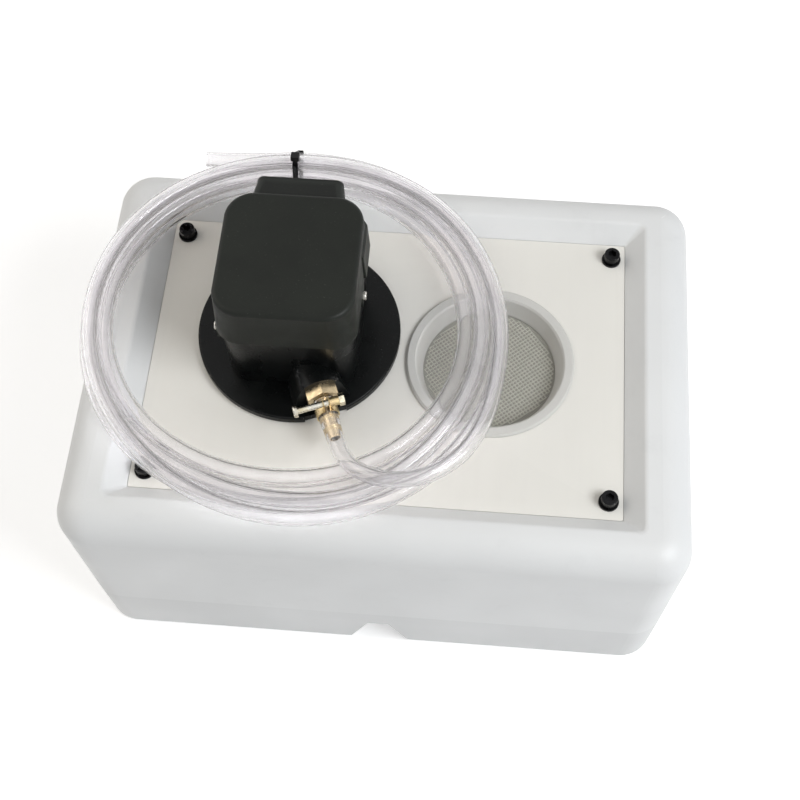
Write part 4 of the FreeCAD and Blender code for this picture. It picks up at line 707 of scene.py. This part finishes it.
class UNIT_OT_inside(bpy.types.Operator):
    """Finish the pieces inside the motor and the wet end"""
    bl_idname = "coolant_unit.inside"
    bl_label = "Inner pieces"

    def execute(self, context):
        bearings = ("lower_bearing_", "upper_bearing_")
        ground = [bearing + part for bearing in bearings
                  for part in ("outer_ring", "inner_ring", "balls")]
        cages = [bearing + "cage" for bearing in bearings]
        dress(plated("ground_steel", tone(188, 188, 186), tone(160, 160, 160), roughness=0.22),
              "shaft", *ground)
        dress(plated("cage_brass", tone(205, 170, 112), tone(180, 145, 92), roughness=0.3),
              *cages)
        dress(plated("winding_copper", tone(196, 112, 74), tone(160, 84, 52), roughness=0.3),
              "stator_windings")
        dress(plated("core_steel", tone(130, 130, 132), tone(104, 104, 106), roughness=0.42),
              "stator_core", "rotor_core")
        dress(plated("cast_metal", tone(176, 177, 178), tone(150, 151, 152), roughness=0.5),
              "upper_bracket")
        dress(moulded_black("wet_plastic", tone(24, 25, 25), roughness=0.42, grain=0.00004),
              "column", "impeller", "suction_cover", "riser_pipe")
        return {"FINISHED"}


# ---- Stage

CAMERA_PLACE = (0.0522, -0.4107, 0.9079)
# Rise above the horizon, turn round the vertical and tilt of the camera, in radians
CAMERA_TURN = (1.093, 0.108, -0.03)
CAMERA_LENS = 60.03
CAMERA_SENSOR = 36.0
FLOOR_HALF = 4.0
LAMP_TARGET = (0, 0, 0.1)
KEY_PLACE, KEY_SIZE, KEY_TINT = (1.05, -0.5, 1.3), 0.8, (0.96, 0.98, 1.0)
FILL_PLACE, FILL_SIZE, FILL_TINT = (-1.1, 0.2, 1.2), 1.2, (1.0, 0.93, 0.82)


def add_lamp(name, place, size, power, tint):
    """Square area lamp that looks at the unit."""
    data = bpy.data.lights.new(name, "AREA")
    data.shape, data.size, data.energy, data.color = "SQUARE", size, power, tint
    light = bpy.data.objects.new(name, data)
    light.location = place
    way = Vector(LAMP_TARGET) - Vector(place)
    light.rotation_euler = way.to_track_quat("-Z", "Y").to_euler()
    bpy.context.scene.collection.objects.link(light)


def seen_rays(tree):
    """1 for camera, mirror and glass rays."""
    path = tree.nodes.new("ShaderNodeLightPath")
    total = path.outputs["Is Camera Ray"]
    for name in ("Is Glossy Ray", "Is Transmission Ray"):
        node = tree.nodes.new("ShaderNodeMath")
        node.operation = "MAXIMUM"
        tree.links.new(total, node.inputs[0])
        tree.links.new(path.outputs[name], node.inputs[1])
        total = node.outputs[0]
    return total


def add_floor(settings):
    """Large level floor that looks white to the camera and still takes shadows."""
    shape = bmesh.new()
    bmesh.ops.create_grid(shape, x_segments=1, y_segments=1, size=FLOOR_HALF)
    floor = bpy.data.objects.new("floor", mesh_from("floor", shape))
    bpy.context.scene.collection.objects.link(floor)
    finish = Finish("floor_white", Base_Color=(*settings.floor, 1), Roughness=0.9,
                    Specular_IOR_Level=0.1)
    glow = finish.product(seen_rays(finish.tree), settings.glow)
    white = finish.feed(finish.add("ShaderNodeEmission"), Strength=glow)
    finish.join_shader("ShaderNodeAddShader", white)
    floor.data.materials.append(finish.material)


def add_world(settings):
    """Even light that the camera sees as full white."""
    world = bpy.data.worlds.new("studio")
    bpy.context.scene.world = world
    world.use_nodes = True
    tree = world.node_tree
    sky = tree.nodes["Background"]
    sky.inputs["Color"].default_value = (1, 1, 1, 1)
    strength = tree.nodes.new("ShaderNodeMapRange")
    strength.inputs["To Min"].default_value = settings.sky
    strength.inputs["To Max"].default_value = 1.0
    tree.links.new(seen_rays(tree), strength.inputs["Value"])
    tree.links.new(strength.outputs["Result"], sky.inputs["Strength"])


def add_camera():
    """The photo's camera."""
    data = bpy.data.cameras.new("view")
    data.lens, data.sensor_width = CAMERA_LENS, CAMERA_SENSOR
    camera = bpy.data.objects.new("view", data)
    rise, yaw, roll = CAMERA_TURN
    turn = (Matrix.Rotation(yaw, 3, "Z") @ Matrix.Rotation(math.pi / 2 - rise, 3, "X")
            @ Matrix.Rotation(roll, 3, "Z"))
    camera.rotation_mode = "QUATERNION"
    camera.rotation_quaternion = turn.to_quaternion()
    camera.location = CAMERA_PLACE
    bpy.context.scene.collection.objects.link(camera)
    bpy.context.scene.camera = camera


class UNIT_OT_stage(bpy.types.Operator):
    """Add the floor, the lamps, the world and the camera"""
    bl_idname = "coolant_unit.stage"
    bl_label = "Stage"

    def execute(self, context):
        settings = context.scene.coolant_stage
        context.scene.view_settings.view_transform = "Standard"
        add_floor(settings)
        add_world(settings)
        add_lamp("key", KEY_PLACE, KEY_SIZE, settings.key, KEY_TINT)
        add_lamp("fill", FILL_PLACE, FILL_SIZE, settings.fill, FILL_TINT)
        add_camera()
        return {"FINISHED"}


# ---- Add-on

STEPS = (UNIT_OT_stage, UNIT_OT_hose, UNIT_OT_tank, UNIT_OT_strainer, UNIT_OT_motor,
         UNIT_OT_outlet, UNIT_OT_inside)


class UNIT_PT_panel(bpy.types.Panel):
    """Lists the steps that dress the unit"""
    bl_idname = "UNIT_PT_panel"
    bl_label = "Coolant unit"
    bl_space_type = "VIEW_3D"
    bl_region_type = "UI"
    bl_category = "Coolant unit"

    def draw(self, context):
        for step in STEPS:
            self.layout.operator(step.bl_idname)


SETTINGS = (("coolant_hose", HoseSettings), ("coolant_plastic", PlasticSettings),
            ("coolant_metal", MetalSettings), ("coolant_stage", StageSettings))


def register():
    for name, group in SETTINGS:
        bpy.utils.register_class(group)
        setattr(bpy.types.Scene, name, PointerProperty(type=group))
    for item in (*STEPS, UNIT_PT_panel):
        bpy.utils.register_class(item)


def unregister():
    for item in (UNIT_PT_panel, *reversed(STEPS)):
        bpy.utils.unregister_class(item)
    for name, group in reversed(SETTINGS):
        delattr(bpy.types.Scene, name)
        bpy.utils.unregister_class(group)


def main():
    register()
    for step in ("stage", "hose", "tank", "strainer", "motor", "outlet", "inside"):
        getattr(bpy.ops.coolant_unit, step)()


if __name__ == "__main__":
    main()
